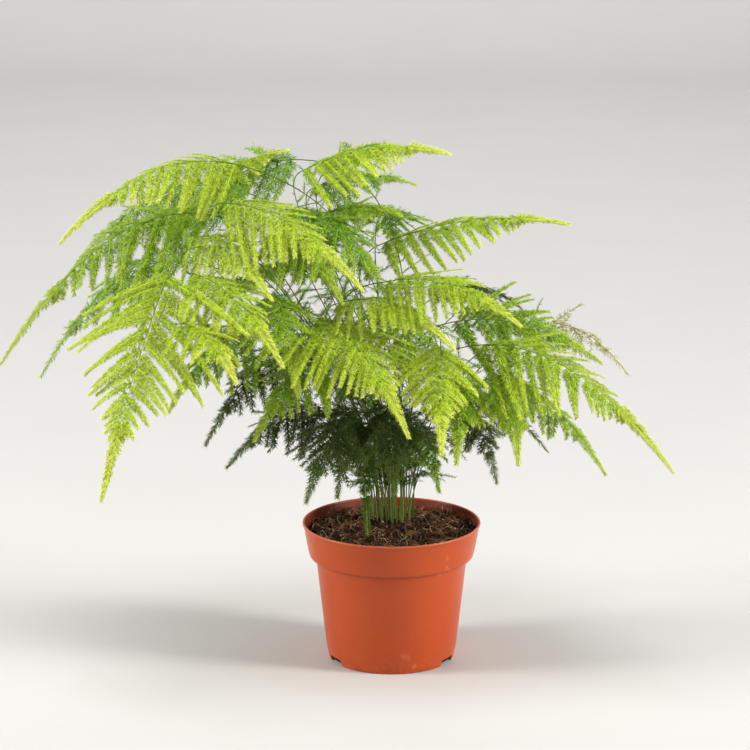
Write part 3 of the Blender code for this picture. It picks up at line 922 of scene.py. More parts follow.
    def tufts(self, rng: np.random.Generator) -> Skin:
        """Make the small side sprays along the stem, from above its bare foot up to the blade.

        They stand at even steps, each a golden turn round from the last. A tuft is a
        thin rib that leans forward and droops, with a row of single needles on each
        side, shorter towards its tip.

        Args:
            rng: The source of their sizes and rolls.

        Returns:
            The tufts, in the third finish.
        """
        tuft = TUFT
        grid = np.linspace(0.0, 1.0, 60)
        run = np.linalg.norm(np.diff(self.stem(grid)[0], axis=0), axis=1)
        run = np.concatenate([[0.0], np.cumsum(run)])
        many = max(2, int((run[-1] - tuft.bare) / tuft.pitch))
        order = np.arange(many)
        t = np.interp(tuft.bare + tuft.pitch * (order + 0.5), run, grid)
        feet, ways = self.stem(t)
        aside, over = turn_about(ways)
        turn = order * CROWN.golden_turn + rng.uniform(0.0, 2.0 * math.pi) + rng.normal(0.0, 0.3, many)
        out = np.cos(turn)[:, None] * aside + np.sin(turn)[:, None] * over
        lean = np.radians(rng.normal(tuft.lean, 9.0, many))[:, None]
        heading = np.cos(lean) * ways + np.sin(lean) * out
        roll = rng.uniform(0.0, math.pi, many)[:, None]
        tangent = np.cross(ways, out)
        normals = np.cos(roll) * np.cross(heading, tangent) + np.sin(roll) * tangent
        lengths = rng.uniform(*tuft.lengths, many)
        falls = -lengths[:, None] * rng.uniform(0.05, 0.4, many)[:, None] * UP
        rows = Pinnae(feet, heading, falls, lengths, normals, np.ones(many), t)
        # Painted shade: tufts lower on the stem, under the foliage, take a lower place on the map's second
        # axis and are painted darker.
        shade = np.clip(tuft.low_chance + tuft.more_chance * t + rng.normal(0.0, 0.07, many), 0.03, 0.6)
        rings = 4
        which, along = np.repeat(order, rings), np.tile(np.linspace(0.0, 0.98, rings), many)
        points, headings = rows.at(which, along)
        across = unit(np.cross(normals[which], headings))
        upward = np.cross(headings, across)
        places = np.stack([0.1 + 0.4 * along, shade[which]], axis=1).reshape(many, rings, 2)
        shape = (many, rings, 3)
        radii = np.tile(tuft.rib * (1.0 - 0.6 * np.linspace(0.0, 1.0, rings)), (many, 1))
        ribs = tubes(points.reshape(shape), across.reshape(shape), upward.reshape(shape), radii, 3, places, 2)
        counts = np.round(lengths / tuft.needle_pitch).astype(int) * 2
        which = np.repeat(order, counts)
        step = np.arange(len(which)) - np.repeat(np.cumsum(counts) - counts, counts)
        hand = np.where(step % 2 == 0, 1.0, -1.0)[:, None]
        along = (step + 0.5) / counts[which]
        feet, headings = rows.at(which, along)
        across = hand * unit(np.cross(normals[which], headings))
        tilt = rng.normal(0.0, 0.4, len(which))[:, None]
        across = np.cos(tilt) * across + np.sin(tilt) * np.cross(headings, across)
        splay = np.radians(rng.normal(tuft.splay, 8.0, len(which)))[:, None]
        ways = np.cos(splay) * headings + np.sin(splay) * across
        flat = unit(np.cross(normals[which], ways))
        sizes = tuft.needle * (1.0 - 0.5 * along) * rng.uniform(0.75, 1.15, len(which))
        ages = 0.08 + 0.4 * along + 0.25 * t[which]
        # Painted light and shade: needles tilted up are painted paler, those tilted down darker.
        places = np.stack([ages, np.clip(shade[which] + 0.2 * tilt[:, 0], 0.02, 0.7)], axis=1)
        widths = np.full(len(which), tuft.needle_width)
        needles = spikes(feet, ways, flat, np.cross(ways, flat), sizes, widths, 0.4, places)
        needles.finishes[:] = 2
        return Skin.join([ribs, needles])

    def sprays(
        self, feet: Array, headings: Array, across: Array, over: Array, along: Array, lengths: Array,
        angles: Array, ages: Array, chances: Array, rng: np.random.Generator,
    ) -> Skin:
        """Make branchlets, each a fine spike with needles on both sides.

        A branchlet leaves its rib at its angle, a little above or below the blade's
        plane. Its needles stand at even steps along it, left and right in turn, at the
        habit's needle angle, and get shorter towards the pinna's tip.

        Args:
            feet: Where each branchlet starts.
            headings: The rib's heading there.
            across: The direction away from the rib in the blade's plane.
            over: The blade's upward direction there.
            along: The part of the way to the pinna's tip.
            lengths: Each branchlet's length.
            angles: Each branchlet's angle to its rib, in radians.
            ages: Each one's place on the map's first axis.
            chances: Each one's place on the map's second axis.
            rng: The source of small differences.

        Returns:
            The branchlets with their needles.
        """
        habit = self.habit()
        many = len(feet)
        lift = rng.normal(0.0, habit.thickness, many)[:, None]
        out = np.cos(lift) * across + np.sin(lift) * over
        ways = unit(np.cos(angles)[:, None] * headings + np.sin(angles)[:, None] * out)
        beside = unit(np.cross(over, ways))
        above = np.cross(ways, beside)
        branchlets = spikes(
            feet, ways, beside, above, lengths + 0.6 * habit.needle, np.full(many, 1.4 * habit.needle_width),
            habit.keel, np.stack([ages, chances], axis=1),
        )
        counts = np.clip(np.round(lengths / habit.needle_step), 3, 11).astype(int)
        which = np.repeat(np.arange(many), counts)
        order = np.arange(len(which)) - np.repeat(np.cumsum(counts) - counts, counts)
        step = (order + 0.35) / counts[which]
        hand = np.where((order + which) % 2 == 0, 1.0, -1.0)[:, None]
        tilt = rng.normal(0.0, habit.thickness + 0.1, len(which))[:, None]
        splay = np.radians(habit.needle_angle + rng.normal(0.0, 7.0, len(which)))[:, None]
        aside = hand * np.cos(tilt) * beside[which] + np.sin(tilt) * above[which]
        needle_ways = unit(np.cos(splay) * ways[which] + np.sin(splay) * aside)
        flat_side = unit(np.cross(above[which], needle_ways))
        starts = feet[which] + ways[which] * (lengths[which] * step)[:, None]
        size = habit.needle * (1.0 - 0.5 * along[which] ** 1.5) * (1.0 - 0.2 * step)
        size = size * rng.uniform(0.8, 1.12, len(which))
        # Painted light and shade: needles tilted above the blade's plane take a higher place on the map's
        # second axis and are painted paler, those below it darker.
        height = np.clip(chances[which] * (1.0 + 1.1 * tilt[:, 0]), 0.02, 0.86)
        places = np.stack([np.clip(ages[which] + 0.06 * step, 0.0, 0.78), height], axis=1)
        widths = np.full(len(which), habit.needle_width)
        needles = spikes(
            starts, needle_ways, flat_side, np.cross(needle_ways, flat_side), size, widths, habit.keel, places
        )
        return Skin.join([branchlets, needles])

    def on_pinnae(self, pinnae: Pinnae, chance: float, rng: np.random.Generator) -> Skin:
        """Set branchlets along both sides of every pinna.

        They are long where the pinnae stand apart near the midrib, and short at the
        pinnae's tips, and lean forward more and more.

        Args:
            pinnae: The pinnae.
            chance: The frond's own place on the map's second axis.
            rng: The source of small differences.

        Returns:
            The branchlets and needles.
        """
        habit = self.habit()
        counts = np.maximum(3, np.round(pinnae.lengths / habit.pitch)).astype(int)
        counts = np.repeat(counts, 2)
        owner = np.repeat(np.repeat(np.arange(len(pinnae.lengths)), 2), counts)
        hand = np.repeat(np.tile([1.0, -1.0], len(pinnae.lengths)), counts)
        begins = np.repeat(np.cumsum(counts) - counts, counts)
        order = np.arange(len(owner)) - begins + np.where(hand > 0.0, 0.3, 0.8)
        along = np.clip((order + rng.uniform(-0.2, 0.2, len(owner))) / np.repeat(counts, counts), 0.01, 1.0)
        feet, headings = pinnae.at(owner, along)
        across = hand[:, None] * unit(np.cross(pinnae.normals[owner], headings))
        over = pinnae.normals[owner]
        lengths = habit.fill * pinnae.gaps[owner] * (1.0 - along) ** 0.7
        lengths = lengths + habit.branchlet * (1.0 - 0.45 * along)
        lengths = lengths * rng.uniform(0.82, 1.1, len(owner))
        angles = np.radians(habit.branchlet_angle * (1.08 - 0.5 * along) + rng.normal(0.0, 5.0, len(owner)))
        ages = np.clip(0.06 + 0.48 * along**1.2 + 0.22 * pinnae.parts[owner], 0.02, 0.76)
        wander = rng.normal(0.0, 0.10, len(owner)) + np.repeat(rng.normal(0.0, 0.07, len(counts)), counts)
        # Painted shade, with random wander: the frond's offset lowers its branchlets' place on the map's
        # second axis.
        chances = np.clip(0.45 - self.dark + 0.25 * (chance - 0.5) + wander, 0.03, 0.82)
        return self.sprays(feet, headings, across, over, along, lengths, angles, ages, chances, rng)

    def on_point(self, chance: float, rng: np.random.Generator) -> Skin:
        """Set branchlets on the midrib's own end, past the last pinnae.

        Args:
            chance: The frond's own place on the map's second axis.
            rng: The source of small differences.

        Returns:
            The branchlets and needles.
        """
        habit = self.habit()
        chord = np.linalg.norm(np.array(self.tip, float) - np.array(self.base, float))
        count = max(8, round((1.0 - self.last + 0.04) * chord / (0.62 * habit.pitch)))
        along = np.repeat((np.arange(count) + 0.5) / count, 2)
        hand = np.tile([1.0, -1.0], count)[:, None]
        feet, headings = self.midrib(self.last - 0.04 + (1.04 - self.last) * along)
        side, up = self.sides(headings, np.ones(len(along)))
        start = 1.6 + 0.06 * self.spread
        lengths = start * (1.0 - along) ** 0.7 * rng.uniform(0.85, 1.1, len(along)) + 0.9
        angles = np.radians(56.0 - 26.0 * along + rng.normal(0.0, 4.0, len(along)))
        ages = 0.5 + 0.26 * along
        # Painted shade: the frond's offset lowers the tip's place on the map's second axis.
        chances = 0.5 - self.dark + 0.25 * (chance - 0.5) + rng.normal(0.0, 0.08, len(along))
        chances = np.clip(chances, 0.03, 0.82)
        scales = 0.4 + 0.5 * along
        return self.sprays(feet, headings, hand * side, up, scales, lengths, angles, ages, chances, rng)

    def build(self, finishes: Sequence[bpy.types.Material], seed: int) -> bpy.types.Object:
        """Make the frond as one piece that stands for its solid.

        Args:
            finishes: The materials of the needles, the ribs and the tufts on the stem.
            seed: The number that fixes its small differences.

        Returns:
            The piece.
        """
        rng = np.random.default_rng(seed)
        chance = float(rng.uniform())
        pinnae = self.pinnae(rng)
        skin = Skin.join([
            self.axis(chance), self.thorns(rng), self.ribs(pinnae, chance),
            self.on_pinnae(pinnae, chance, rng), self.on_point(chance, rng), self.tufts(rng),
        ])
        mesh = skin.mesh("lace_" + self.name, finishes, LEAF_MAP)
        return show("lace_" + self.name, mesh, ["frond_" + self.name])


# The thirteenth value, where given, is the painted shade offset: the drape and low_front are painted darker,
# left_long, left_back and left_low paler.
FRONDS = (
    Frond("top_left", (-94, 0, 336), (-214, -45, 295), 22, 25, 28, 46, 11, Tone.BRIGHT, 8, 0.62, 0),
    Frond("top_right", (-60, -5, 334), (37, -30, 350), 10, 25, 25, 42, 10, Tone.BRIGHT, 0, 0.5, 0),
    Frond("upper_right", (-9, -5, 285), (114, -40, 306), 10, 25, 25, 44, 11, Tone.BRIGHT, 2, 0.5, 0),
    Frond("left_long", (-117, 5, 303), (-258, -20, 208), 32, 25, 25, 62, 12, Tone.FRESH, 6, 0.5, 0, -0.12),
    Frond(
        "front_left", (-142, -65, 281), (-184, -125, 145), 10, 0, 5, 84, 12, Tone.BRIGHT, 12, 0.5, 0,
        narrow_angle=56, sweep=0.04,
    ),
    Frond("centre_top", (-110, -35, 319), (-19, -85, 272), 14, 25, 25, 50, 10, Tone.BRIGHT, 7, 0.5, 0),
    Frond("left_mid", (-131, -30, 296), (-77, -80, 265), 10, 20, 15, 41, 8, Tone.BRIGHT, 43, 0.5, 0),
    Frond("centre_left", (-128, -62, 278), (-69, -118, 230), 12, 15, 15, 48, 9, Tone.BRIGHT, 38, 0.74, 0),
    Frond("front_low_left", (-135, -92, 252), (-97, -140, 225), 10, 10, 15, 40, 7, Tone.BRIGHT, 33, 0.5, 0),
    Frond("centre_front", (-48, -50, 246), (10, -120, 185), 16, 5, 10, 68, 11, Tone.BRIGHT, 20, 0.5, 0),
    Frond("centre_spear", (-37, -35, 252), (39, -95, 236), 14, 15, 15, 44, 10, Tone.BRIGHT, 15, 0.5, 0),
    Frond("right_centre", (-5, -45, 269), (81, -95, 251), 12, 20, 15, 50, 10, Tone.BRIGHT, 10, 0.62, -25),
    Frond("right_long", (54, -50, 228), (180, -90, 154), 24, 25, 20, 58, 12, Tone.BRIGHT, 36, 0.5, 0),
    Frond("right_green", (39, -5, 233), (138, -20, 209), 12, 25, 5, 60, 10, Tone.FRESH, 13, 0.5, 0),
    Frond("right_low", (65, -25, 199), (139, -60, 144), 16, 15, 20, 46, 8, Tone.FRESH, 18, 0.5, 0),
    Frond("hang_1", (31, -75, 234), (31, -115, 172), 8, 0, 15, 40, 8, Tone.BRIGHT, 44, 0.5, 0),
    Frond("hang_2", (46, -60, 211), (41, -95, 161), 8, 0, 15, 34, 7, Tone.FRESH, 26, 0.38, 0),
    Frond("hang_3", (73, -60, 213), (81, -90, 159), 8, 0, 15, 34, 7, Tone.FRESH, 39, 0.28, 0),
    Frond("centre_green", (-67, -6, 310), (3, -46, 248), 18, 10, 15, 60, 13, Tone.GREEN, 9, 0.5, 0),
    Frond("top_green", (-61, 25, 337), (-147, 12, 293), 12, 25, 15, 50, 8, Tone.GREEN, 29, 0.5, 0),
    Frond("upper_right_1", (-54, 30, 316), (15, 15, 322), 8, 20, 20, 34, 9, Tone.GREEN, 27, 0.5, 0),
    Frond("upper_right_2", (-52, 14, 298), (6, -6, 305), 8, 20, 20, 34, 9, Tone.FRESH, 1, 0.5, -6),
    Frond("top_left_back", (-118, 28, 323), (-69, 20, 344), 4, 20, 20, 28, 6, Tone.BRIGHT, 22, 0.5, 0),
    Frond("top_back", (-45, 45, 325), (9, 95, 332), 10, 0, 15, 36, 7, Tone.GREEN, 19, 0.5, 0),
    Frond("left_back", (-92, 45, 309), (-220, 45, 253), 28, 25, 20, 62, 10, Tone.GREEN, 11, 0.5, 0, -0.25),
    Frond("left_low", (-148, 35, 266), (-236, 20, 190), 20, 20, 15, 50, 10, Tone.GREEN, 40, 0.5, 0, -0.25),
    Frond("mid_left", (-93, -15, 234), (-146, -45, 182), 12, 15, 20, 52, 8, Tone.FRESH, 4, 0.28, -6),
    Frond("mid_front", (-40, -50, 225), (-88, -95, 176), 12, 15, 20, 54, 8, Tone.FRESH, 23, 0.5, 0),
    Frond("inner_front", (-76, -52, 262), (-60, -95, 205), 12, 0, 12, 56, 9, Tone.FRESH, 17, 0.28, 12),
    Frond("centre_fill", (-78, -16, 294), (-32, -60, 258), 12, 10, 15, 54, 8, Tone.FRESH, 30, 0.5, 0),
    Frond("centre_low", (0, -15, 250), (15, -62, 193), 12, 0, 15, 52, 8, Tone.FRESH, 16, 0.74, 6),
    Frond("deep_left", (-64, -5, 214), (-122, -45, 160), 14, 15, 15, 46, 8, Tone.DEEP, 14, 0.5, 6),
    Frond("deep_left_low", (-44, 4, 172), (-109, -26, 139), 12, 15, 15, 44, 8, Tone.DEEP, 25, 0.74, 0),
    Frond("deep_front", (-29, -20, 177), (-56, -60, 125), 10, 15, 15, 48, 8, Tone.DEEP, 28, 0.28, 0),
    Frond("deep_middle", (-3, -14, 180), (2, -58, 130), 10, 0, 10, 48, 8, Tone.DEEP, 5, 0.28, 12),
    Frond("deep_hang", (-27, 4, 168), (-36, -38, 122), 10, 0, 12, 36, 7, Tone.DEEP, 35, 0.74, -25),
    Frond("drape", (-20, -8, 146), (-16, -50, 100), 10, 0, 10, 10, 6, Tone.GREEN, 41, 0.5, 0, 0.52),
    Frond("low_front", (16, -8, 160), (31, -45, 128), 10, 0, 10, 30, 7, Tone.GREEN, 31, 0.74, 0, 0.25),
    Frond("low_right", (40, 25, 172), (106, 30, 135), 14, 15, 20, 42, 7, Tone.DEEP, 42, 0.5, 0),
    Frond("low_right_2", (49, 0, 168), (70, -20, 127), 12, 10, 15, 32, 6, Tone.DEEP, 34, 0.5, 0),
    Frond("back_right", (26, 50, 236), (92, 75, 222), 14, 0, 10, 40, 7, Tone.DEEP, 24, 0.5, 0),
    Frond("dry_spray", (99, 15, 227), (159, 15, 192), 12, 10, 10, 28, 6, Tone.DRY, 21, 0.5, 0),
    Frond("back_left", (-60, 70, 255), (-135, 125, 195), 20, 0, 15, 46, 9, Tone.GREEN, 32, 0.5, 0),
    Frond("back_middle", (-8, 80, 290), (5, 155, 240), 18, 0, 15, 46, 9, Tone.GREEN, 3, 0.5, 0),
    Frond("back_far_right", (50, 70, 225), (115, 120, 175), 18, 0, 15, 44, 9, Tone.GREEN, 37, 0.5, 0),
    Frond("back_low", (-15, 62, 180), (-40, 125, 130), 16, 0, 15, 40, 7, Tone.DEEP, 45, 0.62, 0),
)


@dataclass(frozen=True)
class PlasticFinish:
    """Moulded terracotta-coloured plastic, with faint scuffs, a painted highlight along the rim's top and
    painted shade under the band.
    """

    plain: Colour = (0.46, 0.064, 0.0095)
    deep: Colour = (0.38, 0.047, 0.0075)
    pale: Colour = (0.66, 0.21, 0.09)
    # Dark brown: the soil film inside the pot, and also the painted shade under the band.
    dirt_and_shade: Colour = (0.10, 0.045, 0.022)
    roughness: float = 0.34
    # The height above which the rim's top carries a painted highlight.
    rim_highlight_height: float = 0.0932

    def outside(self) -> bpy.types.Material:
        """Make the outer finish.

        Broad clouds darken the colour a little, sparse smudges and fine upright rubs pale
        it, and the foot is worn paler. A painted highlight pales the rim's top edge, and
        painted shade darkens a thin line just under the band.

        Returns:
            The material.
        """
        paint = Paint("terracotta_plastic", Specular_IOR_Level=0.32)
        height = paint.wire(paint.node("SeparateXYZ", {}, {0: paint.place()}), 2)
        clouds = paint.grain(22.0, 3.0)
        colour = paint.mix(self.plain, self.deep, clouds.between(0.42, 0.72) * 0.45)
        smudge = paint.grain(60.0, 4.0).between(0.64, 0.72) * paint.grain(300.0, 2.0).between(0.3, 0.65)
        rub = paint.grain(1.0, 2.0, paint.stretched((420.0, 420.0, 36.0))).between(0.70, 0.80)
        foot = (1.0 - height.between(0.0, 0.014)) * paint.grain(260.0, 3.0).between(0.45, 0.75)
        # Painted highlight: the rim's rounded top is painted paler, where the light catches it.
        edge = height.between(self.rim_highlight_height, self.rim_highlight_height + 0.0008)
        colour = paint.mix(colour, self.pale, smudge * 0.75 + rub * 0.16 + foot * 0.3)
        colour = paint.mix(colour, self.pale, edge * 0.45)
        # Painted shade: a thin dark line on the body just under the band's overhang, where its shadow falls.
        painted_shade_under_band = height.between(0.0686, 0.0706) * (1.0 - height.between(0.0716, 0.0724))
        colour = paint.mix(colour, self.dirt_and_shade, painted_shade_under_band * 0.45)
        roughness = self.roughness + smudge * 0.2 + rub * 0.08 + (clouds - 0.5) * 0.12
        return paint.finish(colour, roughness, paint.grain(1400.0, 2.0) * 0.6 + rub * 0.4, 0.00004)

    def inside(self) -> bpy.types.Material:
        """Make the inner finish: the same plastic painted darker, as shade inside the pot, and dulled by a
        film of soil in spots.

        Returns:
            The material.
        """
        paint = Paint("terracotta_plastic_inside", Specular_IOR_Level=0.4)
        height = paint.wire(paint.node("SeparateXYZ", {}, {0: paint.place()}), 2)
        splash = paint.grain(420.0, 4.0).between(0.40, 0.62) * (1.0 - height.between(0.0885, 0.0945) * 0.8)
        # Painted shade: the inner wall is the deep colour blended with a still darker red, for the shade
        # inside the pot.
        colour = paint.mix(self.deep, (0.20, 0.024, 0.008), paint.grain(90.0, 3.0))
        colour = paint.mix(colour, self.dirt_and_shade, splash * 0.8)
        return paint.finish(colour, 0.5 + splash * 0.3, splash, 0.0001)


@dataclass(frozen=True)
class Pot:
    """The nursery pot: thin and tapering, with a deep band under its rim. Sizes in millimetres."""

    rim_radius: float = 60.0
    height: float = 94.5
    band_foot_radius: float = 56.3
    band_foot_height: float = 75.7
    body_top_radius: float = 51.0
    body_top_height: float = 70.7
    floor_radius: float = 43.2
    wall: float = 1.2
    floor: float = 2.0
    around: int = 120
    notch_turns: tuple[float, float, float] = (90.0, 208.0, 332.0)
    notch_inner: float = 34.0
    notch_width: float = 17.0
    notch_height: float = 4.5
    drain_radius: float = 4.0
    drain_circle: float = 22.0

    def body_radius(self, height: float) -> float:
        """Give the outer radius of the tapering body at a height."""
        return self.floor_radius + (self.body_top_radius - self.floor_radius) * height / self.body_top_height

    def profile(self) -> tuple[Array, int]:
        """Draw the pot's section, up its outside and down its inside, with rounded corners.

        Each corner gives way to the quadratic curve between two points at the corner's
        own distance before and after it, bent towards the corner.

        Returns:
            The radius and height of each point, and the number of the first inside point.
        """
        rim, band, body, top = self.rim_radius, self.band_foot_radius, self.body_top_radius, self.height
        low, shoulder = self.band_foot_height, self.body_top_height
        outside = [
            (0.0, 0.0, 0.0), (self.floor_radius - 1.0, 0.0, 0.9), (self.body_radius(9.0), 9.0, 5.0),
            (body, shoulder, 0.4), (body + 4.2, shoulder + 0.6, 1.6), (band, low, 1.8),
            (rim - 0.7, top - 2.3, 0.4), (rim, top - 1.6, 0.5), (rim, top, 0.6), (rim - 1.3, top, 0.5),
        ]
        inside = [
            (rim - self.wall - 0.35, top - 1.6, 0.6), (band - self.wall, low + 0.4, 1.5),
            (body + 1.2, shoulder + 1.9, 1.0), (body - self.wall, shoulder + 0.5, 0.8),
            (self.body_radius(self.floor) - self.wall, self.floor, 1.8),
            (0.0, self.floor, 0.0),
        ]
        corners = np.array(outside + inside)
        s = np.linspace(0.0, 1.0, 5)[:, None]
        drawn = [corners[:1, :2]]
        for before, corner, after in zip(corners[:-2], corners[1:-1], corners[2:]):
            start = corner[:2] + corner[2] * unit(before[:2] - corner[:2])
            end = corner[:2] + corner[2] * unit(after[:2] - corner[:2])
            drawn.append((1 - s) ** 2 * start + 2 * s * (1 - s) * corner[:2] + s * s * end)
        drawn.append(corners[-1:, :2])
        return np.concatenate(drawn), 1 + 5 * (len(outside) - 1)

    def skin(self) -> Skin:
        """Turn the section about the upright axis.

        A point at turn a is the radius times the cosine and sine of a, at its height,
        and each end of the section is one pole.

        Returns:
            The closed skin.
        """
        profile, first_inside = self.profile()
        finishes = (np.arange(len(profile) - 1) >= first_inside).astype(int)
        return turned_skin(profile, self.around, finishes)

    def notches(self) -> Skin:
        """Make the cutters of the foot's three notches, wider below than above.

        Returns:
            Three closed blocks.
        """
        turns = np.radians(self.notch_turns)
        along = np.stack([np.cos(turns), np.sin(turns), np.zeros(3)], axis=1)
        across = np.stack([-along[:, 1], along[:, 0], np.zeros(3)], axis=1)
        heights = np.array([-1.0, self.notch_height - 0.8, self.notch_height])
        halves = 0.5 * self.notch_width - np.array([0.0, 1.2, 2.6])
        centres = along[:, None, :] * 0.5 * (self.notch_inner + self.rim_radius) + heights[:, None] * UP
        reach = 0.5 * (self.rim_radius - self.notch_inner)
        corner = np.stack([-halves, halves, halves, -halves], axis=1)
        corner = corner[None, :, :, None] * across[:, None, None, :]
        corner = corner + np.array([-reach, -reach, reach, reach])[:, None] * along[:, None, None, :]
        points = (centres[:, :, None, :] + corner).reshape(-1, 3)
        sides = [[i, (i + 1) % 4, 4 + (i + 1) % 4, i, 4 + (i + 1) % 4, 4 + i] for i in range(4)]
        sides = np.array(sides).reshape(-1, 3)
        pattern = np.concatenate([sides, sides + 4, [[0, 2, 1], [0, 3, 2], [8, 9, 10], [8, 10, 11]]])
        pattern = pattern[:, ::-1]
        triangles = (12 * np.arange(3)[:, None, None] + pattern).reshape(-1, 3)
        return Skin(points, triangles, np.zeros((len(points), 2)), np.zeros(len(triangles)))

    def drains(self) -> Skin:
        """Make the cutters of the floor's four round holes.

        Returns:
            Four closed posts.
        """
        turns = np.radians([45.0, 135.0, 225.0, 315.0])
        middles = self.drain_circle * np.stack([np.cos(turns), np.sin(turns), np.zeros(4)], axis=1)
        centres = middles[:, None, :] + np.array([-1.0, self.floor + 1.0])[:, None] * UP
        sides = np.broadcast_to([1.0, 0.0, 0.0], (4, 2, 3))
        ups = np.broadcast_to([0.0, 1.0, 0.0], (4, 2, 3))
        return tubes(centres, sides, -ups, np.full((4, 2), self.drain_radius), 20, np.zeros((4, 2, 2)))

    def build(self, finish: PlasticFinish) -> bpy.types.Object:
        """Make the pot, with its notches and holes cut by an exact Boolean.

        Args:
            finish: Its plastic.

        Returns:
            The piece.
        """
        body = self.skin().mesh("pot_body", [finish.outside(), finish.inside()])
        whole = bpy.data.objects.new("pot_whole", body)
        cuts = Skin.join([self.notches(), self.drains()])
        cutter = bpy.data.objects.new("pot_cutter", cuts.mesh("cut", []))
        for thing in (whole, cutter):
            bpy.context.scene.collection.objects.link(thing)
        cut = whole.modifiers.new("drainage", "BOOLEAN")
        cut.operation, cut.solver, cut.object = "DIFFERENCE", "EXACT", cutter
        graph = bpy.context.evaluated_depsgraph_get()
        mesh = bpy.data.meshes.new_from_object(whole.evaluated_get(graph), depsgraph=graph)
        for thing in (whole, cutter):
            bpy.data.objects.remove(thing, do_unlink=True)
        mesh.shade_smooth()
        mesh.set_sharp_from_angle(angle=math.radians(40.0))
        return show("nursery_pot", mesh, ["pot"])


def turned_skin(profile: Array, around: int, finishes: Array, lift: Any = None) -> Skin:
    """Turn a section about the upright axis into a closed skin.

    A point at turn a is the radius times the cosine and sine of a, at its height, plus
    what the lift adds there. The first and last points of the section are poles.

    Args:
        profile: The radius and height of each point of the section.
        around: The number of turns.
        finishes: The finish of each band between two points.
        lift: A function of places across and along and the point's number, or nothing.

    Returns:
        The skin.
    """
    turns = np.arange(around) * (2.0 * math.pi / around)
    radius, height = profile[1:-1, :1], profile[1:-1, 1:]
    x, y = radius * np.cos(turns), radius * np.sin(turns)
    z = height + np.zeros_like(x)
    poles = np.array([[0.0, 0.0, profile[0, 1]], [0.0, 0.0, profile[-1, 1]]])
    if lift is not None:
        z = z + lift(x, y, np.arange(1, len(profile) - 1)[:, None])
        poles[1, 2] += lift(np.zeros(1), np.zeros(1), np.array([len(profile) - 1]))[0]
    points = np.concatenate([np.stack([x, y, z], axis=-1).reshape(-1, 3), poles])
    rings = len(profile) - 2
    ring, step = np.meshgrid(np.arange(rings - 1), np.arange(around), indexing="ij")
    one, two = ring * around + step, ring * around + (step + 1) % around
    walls = np.stack([one, two, two + around, one, two + around, one + around], axis=-1).reshape(-1, 3)
    step = np.arange(around)
    after = (step + 1) % around
    low = np.full(around, rings * around)
    high = low + 1
    top = (rings - 1) * around
    first = np.stack([low, after, step], axis=1)
    last = np.stack([top + step, top + after, high], axis=1)
    numbers = np.concatenate([
        np.repeat(finishes[1:-1], 2 * around), np.full(around, finishes[0]), np.full(around, finishes[-1]),
    ])
    return Skin(points, np.concatenate([walls, first, last]), np.zeros((len(points), 2)), numbers)


@dataclass(frozen=True)
class PeatFinish:
    """Moist dark peat and what lies in it."""

    black: Colour = (0.006, 0.004, 0.003)
    brown: Colour = (0.034, 0.016, 0.008)
    tan: Colour = (0.13, 0.055, 0.022)

    def bed(self) -> bpy.types.Material:
        """Make the soil's own finish: black to brown clods with fine tan specks.

        Returns:
            The material.
        """
        paint = Paint("dark_peat", Specular_IOR_Level=0.25)
        clods, crumbs = paint.grain(260.0, 5.0, roughness=0.7), paint.grain(1100.0, 3.0)
        colour = paint.ramp(clods, ((0.35, self.black), (0.68, self.brown), (0.85, self.tan)))
        colour = paint.mix(colour, self.tan, crumbs.between(0.62, 0.75) * 0.8)
        roughness = 0.8 + crumbs * 0.2
        return paint.finish(colour, roughness, clods * 0.7 + crumbs * 0.3, 0.0012)

    def litter(
        self, name: str, stops: Sequence[tuple[float, Colour]], roughness: float
    ) -> bpy.types.Material:
        """Make a finish that differs from bit to bit and is blotched within each.

        The map's second axis holds each bit's chance, and a noise on it adds the blotches.

        Args:
            name: The material's name.
            stops: The colours, from the least chance to the greatest.
            roughness: How rough it is.

        Returns:
            The material.
        """
        paint = Paint(name, Roughness=roughness, Specular_IOR_Level=0.3)
        lay = paint.node("UVMap", {"uv_map": LEAF_MAP}, {}).outputs[0]
        chance = paint.wire(paint.node("SeparateXYZ", {}, {0: lay}), 1)
        return paint.finish(paint.ramp(chance + (paint.grain(45.0, 2.0, lay) - 0.5) * 0.35, stops))


